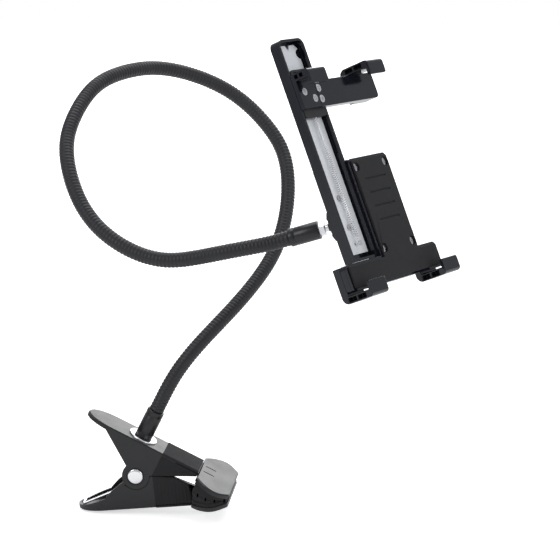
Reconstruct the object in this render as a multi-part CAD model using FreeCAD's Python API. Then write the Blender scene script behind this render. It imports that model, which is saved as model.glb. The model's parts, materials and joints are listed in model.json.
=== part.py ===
import FreeCAD, Part
import os
from math import acos, cos, degrees, pi, radians, sin, sqrt, tan

V = FreeCAD.Vector
os.makedirs("parts", exist_ok=True)

# Frame: millimetres, +Z up, +X along the clamp towards its jaws, +Y along the clamp's pivot, away from the viewer.
# The origin is the middle of the jaw pads' meeting plane, where the clamp bites a table edge.

# Clearances
RUN = 0.05            # radial play of a turning fit
SLIDE = 0.2           # play of a sliding fit on each side
GAP = 0.3             # open gap between pieces that move past each other
PART_GAP = 0.6        # open gap along the levers' parting edge

# Clamp
PIVOT_TO_PAD = 53.0   # pivot centre to the middle of the pads
CLAMP_DIP = 10.1      # degrees, slope of the line from pivot to pads, down towards the jaws
HALF_ANGLE = 16.1     # degrees, each lever plate to that line
PLATE_RISE = 23.0     # pivot centre to a lever plate's outer face
PLATE_T = 2.8         # lever plate thickness
LEVER_W = 26.0        # width over the lever's side walls
WALL_T = 2.6          # side wall thickness
EAR_T = 2.3           # thickness of the lower lever's inner ears
BOSS_R = 9.3          # round boss at the pivot
BOSS_SIDES = 32       # flats round the boss
UPPER_TAIL = 48.0     # pivot to the tip of the upper thumb tab
LOWER_TAIL = 43.6     # pivot to the tip of the lower thumb tab
WALL_FOOT = 33.4      # pivot to the point where the upper lever's side wall meets its plate
LOWER_WALL_FOOT = 28.7    # the same on the lower lever
LOWER_WALL_KNEE = 13.0    # pivot to the bend in the lower lever's wall edge
ARM_END = 36.8        # pivot to the start of the jaw head
HEAD_END = 62.1       # pivot to the front edge of the jaw head
HEAD_W = 65.0         # greatest width of the jaw head
HEAD_BACK_W = 43.0    # width of the head where the arm joins it
HEAD_FRONT_W = 49.0   # length of the head's straight front edge
HEAD_FLARE = [(0, 0), (0.2, 0.56), (0.42, 0.92)]         # arc of the side, along and out from the arm
HEAD_CROWN = [(0.42, 0.92), (0.58, 1.0), (0.72, 0.88)]   # arc over its widest part
HEAD_TAPER = [(0.72, 0.88), (0.87, 0.48), (1, 0)]        # arc to the front edge
HEAD_T = 3.0          # thickness of the head plate
HEAD_SOFT = 0.8       # bevel of the head's outer rim
PLATE_SOFT = 0.8      # bevel of a lever plate's outer rim
HEAD_DROP = 0.6       # step down from the lever plate to the head plate
ARM_SLEEVE_T = 1.2    # how deep an arm's rubber sleeve sits in the lever
ARM_SLEEVE_PROUD = 0.4    # how far it stands out
UPPER_SLEEVE_AT = 20.0    # pivot to the start of the upper arm's sleeve
LOWER_SLEEVE_AT = 11.4    # pivot to the start of the lower arm's sleeve
PARTING_RISE = 0.8    # height of the levers' parting edge over the pivot centre
PAD_WAIST = 1.6       # inset of a rubber pad at its biting face
PAD_SLOT = 1.2        # width and depth of the slots across a pad
PIN_R = 2.5           # pivot pin radius
CAP_R = 5.1           # pivot cap radius
CAP_T = 1.4           # pivot cap thickness
SPRING_WIRE = 1.8     # torsion spring wire diameter
SPRING_R = 5.6        # torsion spring mean radius
SPRING_TURNS = 3      # full turns of the torsion spring, before the part turn between its legs
SPRING_LEG_TILT = 18.3    # degrees, each leg to the plate that it presses on
SPRING_PITCH = 3.2    # torsion spring pitch
SPRING_BEND = 2.4     # bend at a leg's end, where the wire turns across the tab
SPRING_CROSS = 8.5    # straight end of the wire across the tab
SPRING_SIDES = 8      # flats of the wire
BUSH_R = 3.9          # nylon bush inside the torsion spring

# Gooseneck
NECK_FOOT = -7.5      # place of the neck along the upper lever plate, from the pivot
WASHER_R = 10.0
WASHER_T = 1.0
NECK_SCREW_R = 2.5
NECK_SCREW_HEAD_R = 4.6
NECK_SCREW_HEAD_T = 3.0
COLLAR_R = 5.9
COLLAR_L = 20.0
SLEEVE_R = 5.0        # over the sleeve's ribs
VALLEY_R = 4.65       # in the valleys between the ribs
BORE_R = 3.6          # bore of the sleeve
CORE_R = 3.5          # steel core that holds the bend
CORE_GRIP = 12.0      # how far the core goes into each collar
SLEEVE_SIDES = 10     # flats of each ring, so that eighty ribs stay light
RIBS = {              # ribs on each stretch, in order from the clamp
    "neck_root": 3,
    "base_bend": 5,
    "neck_lower": 5,
    "sway_bend": 5,
    "neck_rise": 23,
    "loop_bend": 5,
    "neck_loop": 28,
    "head_bend": 5,
    "neck_tip": 1,
}
# Route of the gooseneck between its collars
NECK_ROUTE = [
    (-28.5, 3.2, 73.5), (-12, 16, 95), (5, 33, 112), (20, 53, 128), (32, 73, 146), (38, 90, 166), (39, 104, 188),
    (33, 117, 212), (20, 123, 230), (-1, 123, 249), (-24, 115, 262), (-48, 100, 270), (-69, 75, 271),
    (-85, 50, 265), (-94, 28, 252), (-98, 9, 235), (-94, -8, 217), (-84, -22, 198), (-69, -34, 183),
    (-48, -41, 171), (-25, -45, 166), (-2, -47, 169), (21, -47, 174),
]
NECK_END_RISE = 17.6      # degrees, slope of the last stretch
NECK_END_HEADING = -3.0   # degrees, its heading from +X towards +Y
STRAIGHT_END = 9.0        # straight stretch beside each collar

# Holder, in its own frame: x along the tablet's long side, y down its short side, z from the glass to the back
HOLDER_AT = V(111.3, -55.6, 226.8)   # middle of the held tablet's front face
HOLDER_HEADING = 61.6     # degrees, heading of the long side
HOLDER_DIP = 1.7          # degrees, slope of the long side
HOLDER_LEAN = 24.6        # degrees, how far the tablet leans back
TABLET_H = 134.7          # short side of the tablet that the claws are set to
TABLET_T = 7.3            # its thickness
FIT = 0.3                 # play between tablet and claws
CLAW_W = 18.5
CLAW_T = 4.8              # thickness of a claw's shelf
LIP_T = 2.2               # plastic thickness of a claw's lip
LIP_PAD_T = 1.0           # rubber on the inside of the lip
LIP_REACH = 4.85          # how far a lip reaches over the glass
CLAW_BACK = 19.4          # depth of a long claw, from the glass
CLAW_LEG = 18.0           # length of the leg behind the tablet
LOWER_LEFT_X = -45.5
LOWER_RIGHT_X = 41.7
UPPER_LEFT_X = -31.85
UPPER_RIGHT_X = 35.3
PAD_FRONT = 7.5           # depth of the grip pad's face
PAD_T = 1.3
COVER_T = 1.8
BEAM_H = 17.0             # height of the cross beams
BEAM_INSET = 1.0          # beam edge to the tablet's edge
BEAM_BACK = 14.2          # depth of the beams' back faces
CASE_RIGHT = 30.0         # right side of the housing's central case
CASE_TOP = -14.0          # top side of the central case
CASE_BACK = 18.5
SHELL = 2.0               # wall of the mouldings
FLANGE_T = 2.2            # flange behind the slide track
TRACK_X = -27.3
TRACK_W = 27.6
TRACK_RISE = 20.0         # track's top beyond the carriage's, which leaves its travel away from the lower claws
TRACK_FRONT = 11.0
TRACK_BACK = 18.0
TRACK_WALL = 1.8
TRACK_FLOOR = 1.4
TRACK_CORNER = 5.0
GROOVE = 0.9              # depth of the runner grooves in the track's walls
PLATE_RAIL = 0.5          # low rails under the guide plate
GUIDE_W = 16.0
GUIDE_T = 1.4
GUIDE_TOP_GAP = 3.0       # track's top wall to the guide plate
BITE_R = 3.2              # half-round notches in the guide plate's sides
NOTCH = 3.4               # width and depth of the V notch at its top
CARRIAGE_RISE = 8.15      # carriage's top beyond the tablet's edge
CARRIAGE_L = 31.5
RUNNER_INSET = 4.0        # side runners to the carriage's ends
UPPER_PLANE = 7.7         # front of the upper bar and short claw
UPPER_T = 3.0             # thickness of the bar's tongue and the short claw's leg
RETURN_SPRING_R = 1.6
RETURN_SPRING_BORE = 1.0
SPRING_POST_R = 1.1
SPRING_POST_Y = 38.0
SLIDE_DOWN = 28.0         # travel of the carriage towards the lower claws
SCREW_R = 1.25
SCREW_HEAD_R = 2.6
SCREW_SIDES = 8           # flats of a small screw and its hole, so that many of them stay light
PIECE_SIDES = 24          # flats of a small turned piece

# Ball joint
HUB_Y = 21.4              # hub centre below the tablet's middle
BALL_DEPTH = 31.0         # depth of the ball's centre
BALL_R = 8.5
LINER_T = 1.4
LINER_LIP = 5.0           # liner's rim beyond the ball's centre
LINER_TAPER_AT = 1.5      # start of its taper beyond the ball's centre
LINER_TAPER = 1.95        # how much the taper draws in
LINER_HOLE = 3.0          # hole in its base
LINER_BASE = 9.5          # its base before the ball's centre
BALL_SIDES = 24           # flats round the ball and its liner
BALL_BANDS = 10           # bands of the ball from pole to pole
HUB_R = 12.0
NUT_R = 15.5
NUT_BACK = 8.0            # nut's outer face beyond the ball's centre
NUT_L = 15.0
NUT_GRIPS = 12            # raised grips round the nut
GRIP_STEP = 1.1           # depth of the channels between them
NUT_SOFT = 1.0            # bevel at its outer end
MOUTH_LIP = 6.5           # inner edge of the nut's mouth beyond the ball's centre
STUD_R = 2.5
STUD_REACH = 20.5         # end collar to the ball's centre
STUD_NUT_T = 4.0
STUD_NUT_FLATS = 8.0

LEVER_DROP = CLAMP_DIP + HALF_ANGLE
PIVOT = V(-PIVOT_TO_PAD * cos(radians(CLAMP_DIP)), 0, PIVOT_TO_PAD * sin(radians(CLAMP_DIP)))
PLATE_IN = PLATE_RISE - PLATE_T
HEAD_OUT = PLATE_RISE - HEAD_DROP
HEAD_IN = HEAD_OUT - HEAD_T
INNER_WALL = LEVER_W / 2 - WALL_T
HALF_TABLET = TABLET_H / 2
CARRIAGE_TOP = -HALF_TABLET - CARRIAGE_RISE
TRACK_TOP = CARRIAGE_TOP - TRACK_RISE


def save(name, shape):
    """Write one node as a STEP file and report its size."""
    solids = shape.Solids
    if not shape.isValid() or not solids or min(s.Volume for s in solids) <= 0:
        print("WARNING", name, "is not a sound solid")
    shape = solids[0] if len(solids) == 1 else Part.makeCompound(solids)
    shape.exportStep("parts/" + name + ".step")
    print(f"{name:20s} {len(solids)} solid(s) {shape.Volume:10.1f} mm3")


def box(x0, x1, y0, y1, z0, z1):
    return Part.makeBox(x1 - x0, y1 - y0, z1 - z0, V(x0, y0, z0))


def rod(base, direction, radius, length):
    return Part.makeCylinder(radius, length, base, direction)


def prism(points, direction):
    """A flat outline of straight edges, drawn out along a direction."""
    return Part.Face(Part.makePolygon(points + [points[0]])).extrude(direction)


def fillet_near(shape, radius, test):
    """Round the edges whose middle passes the test."""
    edges = [e for e in shape.Edges if test(e.valueAt((e.FirstParameter + e.LastParameter) / 2), e)]
    return shape.makeFillet(radius, edges) if edges else shape


def ringed(profile, centre, direction, sides):
    """Turn a profile of (radius, height) points about an axis, with flat sides so that a small piece stays light."""
    rings = []
    for radius, height in profile:
        angles = [2 * pi * i / sides for i in range(sides)]
        rings.append([V(radius * cos(a), radius * sin(a), height) for a in angles])
    faces = []
    for low, high in zip(rings, rings[1:] + rings[:1]):
        for i in range(sides):
            corners = []
            for p in (low[i], low[i - 1], high[i - 1], high[i]):
                if not any(p.isEqual(q, 1e-6) for q in corners):
                    corners.append(p)
            if len(corners) > 2:
                faces.append(Part.Face(Part.makePolygon(corners + corners[:1])))
    shell = Part.makeShell(faces)
    shell.sewShape()
    solid = Part.makeSolid(shell).removeSplitter()
    if solid.Volume < 0:
        solid.reverse()
    solid.Placement = FreeCAD.Placement(centre, FreeCAD.Rotation(V(0, 0, 1), direction))
    return solid


def disc(centre, direction, radius, length, sides):
    """Short bar with flat sides."""
    return ringed([(0, 0), (radius, 0), (radius, length), (0, length)], centre, direction, sides)


def around(radius, sides):
    """Corner radius of a ring whose flats lie at the given radius."""
    return radius / cos(pi / sides)


def post(x, y, z0, z1, radius, sides=SCREW_SIDES):
    """Upright pin or hole with flat sides."""
    points = [V(x + radius * cos(2 * pi * i / sides), y + radius * sin(2 * pi * i / sides), z0) for i in range(sides)]
    return prism(points, V(0, 0, z1 - z0))


# Clamp: each lever is modelled in its own frame, x along the plate towards the jaw, y along the pivot,
# z out through the plate, with the pivot at the origin.

def upper_place():
    return FreeCAD.Placement(PIVOT, FreeCAD.Rotation(V(0, 1, 0), LEVER_DROP))


def lower_place():
    flip = FreeCAD.Rotation(V(1, 0, 0), 180)
    return FreeCAD.Placement(PIVOT, FreeCAD.Rotation(V(0, 1, 0), CLAMP_DIP - HALF_ANGLE) * flip)


def placed(shape, place):
    out = shape.copy()
    out.Placement = place.multiply(shape.Placement)
    return out


def tail_outline(tail, inset):
    """Plan of a thumb tab and its plate, ended by a half ellipse."""
    half = LEVER_W / 2 - inset
    round_l = LEVER_W * 0.75
    arc = Part.Ellipse(V(-tail + round_l, 0, 0), round_l - inset, half)
    arc_edge = Part.ArcOfEllipse(arc, pi / 2, 3 * pi / 2).toShape()
    top, low = V(-tail + round_l, half, 0), V(-tail + round_l, -half, 0)
    end_top, end_low = V(ARM_END, half, 0), V(ARM_END, -half, 0)
    edges = [arc_edge, Part.makeLine(low, end_low), Part.makeLine(end_low, end_top), Part.makeLine(end_top, top)]
    return Part.Face(Part.Wire(Part.__sortEdges__(edges)))


def head_outline(inset):
    """Plan of the jaw head: narrow at the arm, bulging at the sides, straight in front."""
    back, front, side = HEAD_BACK_W / 2 - inset, HEAD_FRONT_W / 2 - inset, HEAD_W / 2 - inset
    x0, x1 = ARM_END + inset, HEAD_END - inset

    def spot(s, along, out):
        base = back if along < 0.5 else front
        return V(x0 + along * (x1 - x0), s * (base + out * (side - base)), 0)

    edges = []
    for s in (1, -1):
        flare = [spot(s, *p) for p in HEAD_FLARE]
        crown = [spot(s, *p) for p in HEAD_CROWN]
        taper = [spot(s, *p) for p in HEAD_TAPER]
        for arc in (flare, crown, taper):
            edges.append(Part.Arc(*arc).toShape())
    edges.append(Part.makeLine(V(x1, front, 0), V(x1, -front, 0)))
    edges.append(Part.makeLine(V(x0, back, 0), V(x0, -back, 0)))
    return Part.Face(Part.Wire(Part.__sortEdges__(edges)))


def raised(face, low, high):
    """Draw a plan face out between two heights."""
    copy = face.copy()
    copy.translate(V(0, 0, low))
    return copy.extrude(V(0, 0, high - low))


def lever_point(x, z, drop):
    """A point given along and above the horizontal from the pivot, in a lever's own frame."""
    a = radians(drop)
    return (x * cos(a) - z * sin(a), x * sin(a) + z * cos(a))


def side_wall(outline, inner, outer):
    """A pair of upright walls from one outline of (x, z) points, at both sides of the lever."""
    walls = []
    for s in (1, -1):
        points = [V(x, s * inner, z) for x, z in outline]
        walls.append(prism(points, V(0, s * (outer - inner), 0)))
    return walls[0].fuse(walls[1])


def bevelled(outline, low, high, soft):
    """Draw an outline out between two heights with a bevel round its upper rim."""
    rims = [outline(inset).OuterWire for inset in (0, soft)]
    for wire, height in zip(rims, (high - soft, high)):
        wire.translate(V(0, 0, height))
    return raised(outline(0), low, high - soft).fuse(Part.makeLoft(rims, True, True))


def lever(tail, wall_outline, sleeve_at):
    """Plate, side walls and head plate of a lever, with a seat for the rubber sleeve round its arm."""
    plate = bevelled(lambda inset: tail_outline(tail, inset), PLATE_IN, PLATE_RISE, PLATE_SOFT)
    walls = side_wall(wall_outline, INNER_WALL, LEVER_W / 2)
    arm = plate.fuse(walls)
    seat = box(sleeve_at, ARM_END, -LEVER_W, LEVER_W, -PLATE_RISE, 2 * PLATE_RISE)
    core = LEVER_W / 2 - ARM_SLEEVE_T
    seat = seat.cut(box(sleeve_at - 1, ARM_END + 1, -core, core, -2 * PLATE_RISE, PLATE_RISE - ARM_SLEEVE_T))
    head = bevelled(head_outline, HEAD_IN, HEAD_OUT, HEAD_SOFT)
    return arm.cut(seat).fuse(head).removeSplitter()


def arm_sleeve(wall_outline, sleeve_at):
    """Rubber sleeve over an arm: a channel over the plate and down both side walls."""
    core, out = LEVER_W / 2 - ARM_SLEEVE_T, LEVER_W / 2 + ARM_SLEEVE_PROUD
    top = PLATE_RISE + ARM_SLEEVE_PROUD
    end = ARM_END - GAP
    cover = box(sleeve_at, end, -out, out, PLATE_RISE - ARM_SLEEVE_T, top)
    sides = side_wall(wall_outline, core, out).common(box(sleeve_at, end, -LEVER_W, LEVER_W, -PLATE_RISE, top))
    body = cover.fuse(sides).removeSplitter()
    edges = [e for e in body.Edges if e.BoundBox.ZMin > top - 0.01 and e.BoundBox.XLength > 1]
    return body.makeChamfer(1.0, edges)


def upper_walls():
    """Side view of the upper lever's walls."""
    arm_bottom = lever_point(ARM_END / cos(radians(LEVER_DROP)), PARTING_RISE, LEVER_DROP)
    return [
        (-WALL_FOOT, PLATE_IN + 1),
        (-9.2 * BOSS_R / 9.3, 5.9 * BOSS_R / 9.3 - 2),
        (0, 0),
        (BOSS_R * 0.9, lever_point(BOSS_R, PARTING_RISE, LEVER_DROP)[1]),
        (ARM_END + 0.3, min(arm_bottom[1] + 0.9, HEAD_IN + 0.5)),
        (ARM_END + 0.3, PLATE_IN + 1),
    ]


def make_upper_lever():
    body = lever(UPPER_TAIL, upper_walls(), UPPER_SLEEVE_AT)
    ears = [disc(V(0, s * INNER_WALL, 0), V(0, s, 0), BOSS_R, WALL_T, BOSS_SIDES) for s in (1, -1)]
    body = body.fuse(ears)
    # cross rib under the plate, in front of the neck screw
    body = body.fuse(box(12, 12 + WALL_T, -INNER_WALL, INNER_WALL, PLATE_IN - 6, PLATE_IN + 0.5))
    # two short grooves in the top of the head
    for y in (5.5, -5.5):
        body = body.cut(box(ARM_END + 2.5, ARM_END + 10.5, y - 0.6, y + 0.6, HEAD_OUT - 0.7, HEAD_OUT + 1))
    # ring groove that seats the pivot cap, pin hole and screw hole
    for s in (1, -1):
        face = LEVER_W / 2
        groove = [(CAP_R + 0.1, 0), (CAP_R + 1.1, 0), (CAP_R + 1.1, 2), (CAP_R + 0.1, 2)]
        ring = ringed(groove, V(0, s * (face - 0.6), 0), V(0, s, 0), PIECE_SIDES)
        body = body.cut(ring)
    body = body.cut(rod(V(0, -LEVER_W, 0), V(0, 1, 0), PIN_R, 2 * LEVER_W))
    body = body.cut(post(NECK_FOOT, 0, PLATE_IN - 1, PLATE_RISE + 1, NECK_SCREW_R + 0.1))
    return body.removeSplitter()


def lower_walls():
    """Side view of the lower lever's walls."""
    flat = CLAMP_DIP - HALF_ANGLE
    # the lower lever's frame is upside down, so heights below the pivot are positive in it
    gap_end = lever_point(ARM_END - 1, 4.5, -flat)
    return [
        (-LOWER_WALL_FOOT, PLATE_IN + 1),
        (-LOWER_WALL_FOOT, PLATE_IN),
        (-LOWER_WALL_KNEE, 10.9),
        (-6.0, 5.0),
        (0, 0),
        (BOSS_R, lever_point(BOSS_R, -PARTING_RISE + PART_GAP, -flat)[1]),
        (25.6, lever_point(25.6, -PARTING_RISE + PART_GAP, -flat)[1] + 0.3),
        (gap_end[0], gap_end[1]),
        (ARM_END + 0.3, HEAD_IN - 1),
        (ARM_END + 0.3, PLATE_IN + 1),
    ]


def make_lower_lever():
    body = lever(LOWER_TAIL, lower_walls(), LOWER_SLEEVE_AT)
    # the side walls stop short of the upper lever's bosses
    clear = disc(V(0, -LEVER_W, 0), V(0, 1, 0), around(BOSS_R + GAP, BOSS_SIDES), 2 * LEVER_W, BOSS_SIDES)
    body = body.cut(clear)
    # inner ears carry the pivot inside the upper lever's walls
    ear_out = INNER_WALL - GAP
    ear_in = ear_out - EAR_T
    web = [(-15, 15.4), (-9, 2.5), (0, 0), (14, -0.8), (20, 3), (20, PLATE_IN + 0.5), (-15, PLATE_IN + 0.5)]
    low_web = [(-15, 15.4), (-11, 6), (16, 6), (20, 6), (20, PLATE_IN + 0.5), (-15, PLATE_IN + 0.5)]
    ears = side_wall(low_web, ear_in, ear_out + GAP)
    ears = ears.cut(clear)
    inner = side_wall(web, ear_in, ear_out)
    rings = [disc(V(0, s * ear_in, 0), V(0, s, 0), BOSS_R - 1, EAR_T, BOSS_SIDES) for s in (1, -1)]
    body = body.fuse([ears, inner] + rings)
    body = body.cut(rod(V(0, -LEVER_W, 0), V(0, 1, 0), PIN_R + RUN, 2 * LEVER_W))
    return body.removeSplitter()


def make_jaw_pad(tilt):
    """Rubber pad under a head plate: waisted sides and slots across its biting face."""
    deep = PLATE_RISE
    wide, narrow = head_outline(0.8), head_outline(PAD_WAIST)
    pad = raised(wide, HEAD_IN - 2.2, HEAD_IN).fuse(raised(narrow, HEAD_IN - deep, HEAD_IN - 2.2))
    bite = FreeCAD.Placement(V(0, 0, 0), FreeCAD.Rotation(V(0, 1, 0), -tilt))
    keep = box(-10, 120, -60, 60, GAP / 2, 60)
    pad = pad.common(placed(keep, bite))
    first = PIVOT_TO_PAD - 9
    for i in range(4):
        x = first + i * 6
        groove = box(x, x + PAD_SLOT, -60, 60, -1, GAP / 2 + PAD_SLOT)
        pad = pad.cut(placed(groove, bite))
    return pad.removeSplitter()


def make_torsion_spring():
    """Coils on the pivot bush and a leg under each thumb tab that ends across it, as one unbroken wire."""
    r, wire = SPRING_R, SPRING_WIRE / 2
    tilt = radians(SPRING_LEG_TILT)
    # directions in which the legs run, turned about the pivot from +X towards +Z
    upper = 180 - LEVER_DROP - SPRING_LEG_TILT
    lower = 180 + HALF_ANGLE - CLAMP_DIP + SPRING_LEG_TILT
    start, end = upper - 90, lower + 90
    turn = SPRING_TURNS * 360 + (start - end) % 360
    halves = int(turn // 180) + 1
    step = radians(turn / (2 * halves))
    length = SPRING_PITCH * turn / 360
    points = []
    for i in range(2 * halves + 1):
        angle = radians(start) - step * i
        points.append(V(r * cos(angle), length / 2 - length * i / (2 * halves), r * sin(angle)))
    # a leg runs until the wire lies just off its plate, then turns inwards across the tab
    leg = (PLATE_IN - wire - GAP - r * cos(tilt)) / sin(tilt) - SPRING_BEND
    ends = []
    for point, heading, side in ((points[0], upper, -1), (points[-1], lower, 1)):
        out = V(cos(radians(heading)), 0, sin(radians(heading)))
        across = V(0, side, 0)
        knee = point + out * leg
        middle = knee + out * (SPRING_BEND * sin(pi / 4)) + across * (SPRING_BEND * (1 - cos(pi / 4)))
        corner = knee + (out + across) * SPRING_BEND
        ends.append((knee, middle, corner, corner + across * SPRING_CROSS))
    (knee_a, middle_a, corner_a, tip_a), (knee_b, middle_b, corner_b, tip_b) = ends
    edges = [Part.makeLine(tip_a, corner_a), Part.Arc(corner_a, middle_a, knee_a).toShape(), Part.makeLine(knee_a, points[0])]
    for i in range(halves):
        edges.append(Part.Arc(points[2 * i], points[2 * i + 1], points[2 * i + 2]).toShape())
    edges += [Part.makeLine(points[-1], knee_b), Part.Arc(knee_b, middle_b, corner_b).toShape(), Part.makeLine(corner_b, tip_b)]
    flats = []
    for i in range(SPRING_SIDES):
        angle = 2 * pi * (i + 0.5) / SPRING_SIDES
        flats.append(tip_a + V(wire * cos(angle), 0, wire * sin(angle)))
    section = Part.makePolygon(flats + flats[:1])
    spring = Part.Wire(edges).makePipeShell([section], True, False)
    spring.translate(PIVOT)
    print("torsion spring: leg", round(leg, 1), "mm, least gap between turns", round(SPRING_PITCH - SPRING_WIRE, 2), "mm")
    return spring


def make_clamp():
    up, low = upper_place(), lower_place()
    save("upper_lever", placed(make_upper_lever(), up))
    save("lower_lever", placed(make_lower_lever(), low))
    save("upper_jaw_pad", placed(make_jaw_pad(HALF_ANGLE), up))
    save("lower_jaw_pad", placed(make_jaw_pad(HALF_ANGLE), low))
    save("upper_arm_sleeve", placed(arm_sleeve(upper_walls(), UPPER_SLEEVE_AT), up))
    save("lower_arm_sleeve", placed(arm_sleeve(lower_walls(), LOWER_SLEEVE_AT), low))
    save("pivot_pin", rod(PIVOT - V(0, LEVER_W / 2, 0), V(0, 1, 0), PIN_R, LEVER_W))
    for name, s in (("pivot_cap_front", -1), ("pivot_cap_rear", 1)):
        cap = [(0, 0), (CAP_R, 0), (CAP_R, CAP_T * 0.5), (CAP_R - 0.7, CAP_T * 0.9), (CAP_R * 0.5, CAP_T), (0, CAP_T)]
        save(name, ringed(cap, PIVOT + V(0, s * LEVER_W / 2, 0), V(0, s, 0), PIECE_SIDES))
    inner = INNER_WALL - GAP - EAR_T - GAP
    hole = around(PIN_R + RUN, PIECE_SIDES)
    bush = [(hole, -inner), (BUSH_R, -inner), (BUSH_R, inner), (hole, inner)]
    save("spring_bush", ringed(bush, PIVOT, V(0, 1, 0), PIECE_SIDES))
    save("torsion_spring", make_torsion_spring())


# Gooseneck

def neck_foot(height):
    """A point on the neck's axis at the clamp, given by its height over the pivot."""
    return upper_place().multVec(V(NECK_FOOT, 0, height))


def end_direction():
    rise, heading = radians(NECK_END_RISE), radians(NECK_END_HEADING)
    return V(cos(rise) * cos(heading), cos(rise) * sin(heading), sin(rise))


def holder_place():
    turn = FreeCAD.Rotation(V(0, 0, 1), HOLDER_HEADING)
    turn = turn * FreeCAD.Rotation(V(0, 1, 0), HOLDER_DIP)
    turn = turn * FreeCAD.Rotation(V(1, 0, 0), -HOLDER_LEAN)
    turn = turn * FreeCAD.Rotation(V(1, 0, 0), -90)
    return FreeCAD.Placement(HOLDER_AT, turn)


BALL_AT = holder_place().multVec(V(0, HUB_Y, BALL_DEPTH))
NECK_START = neck_foot(PLATE_RISE + WASHER_T + COLLAR_L)
NECK_START_DIR = (NECK_START - neck_foot(PLATE_RISE)).normalize()
NECK_END = BALL_AT - end_direction() * (STUD_REACH + COLLAR_L)


def neck_line():
    """The neck's centre line as one smooth edge, straight beside each collar."""
    points = [NECK_START, NECK_START + NECK_START_DIR * STRAIGHT_END]
    points += [V(*p) for p in NECK_ROUTE]
    points += [NECK_END - end_direction() * STRAIGHT_END, NECK_END]
    curve = Part.BSplineCurve()
    curve.interpolate(Points=points, InitialTangent=NECK_START_DIR, FinalTangent=end_direction(), Scale=False)
    return curve.toShape()


RIB_SHARES = ((0.0, VALLEY_R), (0.22, SLEEVE_R), (0.62, SLEEVE_R), (0.84, VALLEY_R))


def neck_frames(edge, pitch, count):
    """Centre, direction and sideways axis at each ring, carried along the neck without twist."""
    frames = []
    side = V(0, 1, 0)
    lengths = [(i + share) * pitch for i in range(count) for share, radius in RIB_SHARES]
    for length in lengths + [edge.Length]:
        at = edge.getParameterByLength(min(length, edge.Length))
        centre, along = edge.valueAt(at), edge.tangentAt(at)
        side = side - along * along.dot(side)
        side.normalize()
        frames.append((centre, along, side))
    return frames


def ring_at(frame, radius):
    centre, along, side = frame
    up = along.cross(side)
    points = []
    for i in range(SLEEVE_SIDES):
        angle = 2 * pi * i / SLEEVE_SIDES
        points.append(centre + side * (radius * cos(angle)) + up * (radius * sin(angle)))
    return Part.makePolygon(points + [points[0]])


def loft(rings):
    return Part.makeLoft(rings, True, True)


def bore_frames(frames):
    """Every second rib's first ring and the last ring of a stretch."""
    return frames[:-1:2 * len(RIB_SHARES)] + [frames[-1]]


def sleeve(frames):
    """A ribbed sleeve: four rings to each rib, over a plain bore."""
    rings = []
    for i, frame in enumerate(frames):
        rings.append(ring_at(frame, RIB_SHARES[i % len(RIB_SHARES)][1]))
    bore = loft([ring_at(frame, BORE_R) for frame in bore_frames(frames)])
    return loft(rings).cut(bore)


def core(frames, start_grip, end_grip):
    """A stretch of the steel core, with a plain end in a collar where it has one."""
    stops = bore_frames(frames)
    if start_grip:
        centre, along, side = stops[0]
        stops = [(centre - along * start_grip, along, side)] + stops
    if end_grip:
        centre, along, side = stops[-1]
        stops = stops + [(centre + along * end_grip, along, side)]
    return loft([ring_at(frame, CORE_R) for frame in stops])


def collar(base, direction, screw_r, screw_depth):
    """Moulded collar: plain barrel with softened rims, bored for the core and the screw."""
    soft = 0.6
    hole = around(screw_r, PIECE_SIDES)
    seat = COLLAR_L - CORE_GRIP - GAP
    profile = [(hole, 0), (COLLAR_R - soft, 0), (COLLAR_R, soft), (COLLAR_R, COLLAR_L - soft), (COLLAR_R - soft, COLLAR_L),
               (BORE_R, COLLAR_L), (BORE_R, seat), (0, seat), (0, screw_depth), (hole, screw_depth)]
    return ringed(profile, base, direction, PIECE_SIDES)


def make_neck():
    plate_out = neck_foot(PLATE_RISE)
    up = NECK_START_DIR
    washer = ringed([(NECK_SCREW_R + 0.1, 0), (WASHER_R, 0), (WASHER_R, WASHER_T * 0.6), (WASHER_R - 0.5, WASHER_T),
                     (NECK_SCREW_R + 0.1, WASHER_T)], plate_out, up, PIECE_SIDES)
    save("neck_washer", washer)
    screw_depth = 6.0
    save("base_collar", collar(plate_out + up * WASHER_T, up, NECK_SCREW_R + RUN, screw_depth + 0.5))
    head = NECK_SCREW_HEAD_R
    under = neck_foot(PLATE_IN)
    screw = ringed([(0, -NECK_SCREW_HEAD_T), (head - 0.8, -NECK_SCREW_HEAD_T), (head, -NECK_SCREW_HEAD_T + 0.8), (head, 0),
                    (NECK_SCREW_R, 0), (NECK_SCREW_R, PLATE_T + WASHER_T + screw_depth),
                    (0, PLATE_T + WASHER_T + screw_depth)], under, up, SCREW_SIDES)
    recess = ringed([(0, 0), (1.5, 0), (1.5, 1.6), (0, 1.6)], under - up * NECK_SCREW_HEAD_T, up, 6)
    save("neck_screw", screw.cut(recess))

    edge = neck_line()
    pitch = edge.Length / sum(RIBS.values())
    print("neck between collars", round(edge.Length, 1), "mm, rib pitch", round(pitch, 2), "mm")
    frames = neck_frames(edge, pitch, sum(RIBS.values()))
    per_rib = len(RIB_SHARES)
    first = 0
    names = list(RIBS)
    for name in names:
        count = RIBS[name]
        middle = edge.getParameterByLength((first + count / 2) * pitch)
        at, along = edge.valueAt(middle), edge.tangentAt(middle)
        print(name, "middle", [round(v, 2) for v in at], "along", [round(v, 3) for v in along])
        stretch = frames[first * per_rib:(first + count) * per_rib + 1]
        save(name + "_sleeve", sleeve(stretch))
        start_grip = CORE_GRIP if name == names[0] else 0
        end_grip = CORE_GRIP if name == names[-1] else 0
        save(name + "_core", core(stretch, start_grip, end_grip))
        first += count


# Ball joint

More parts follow.
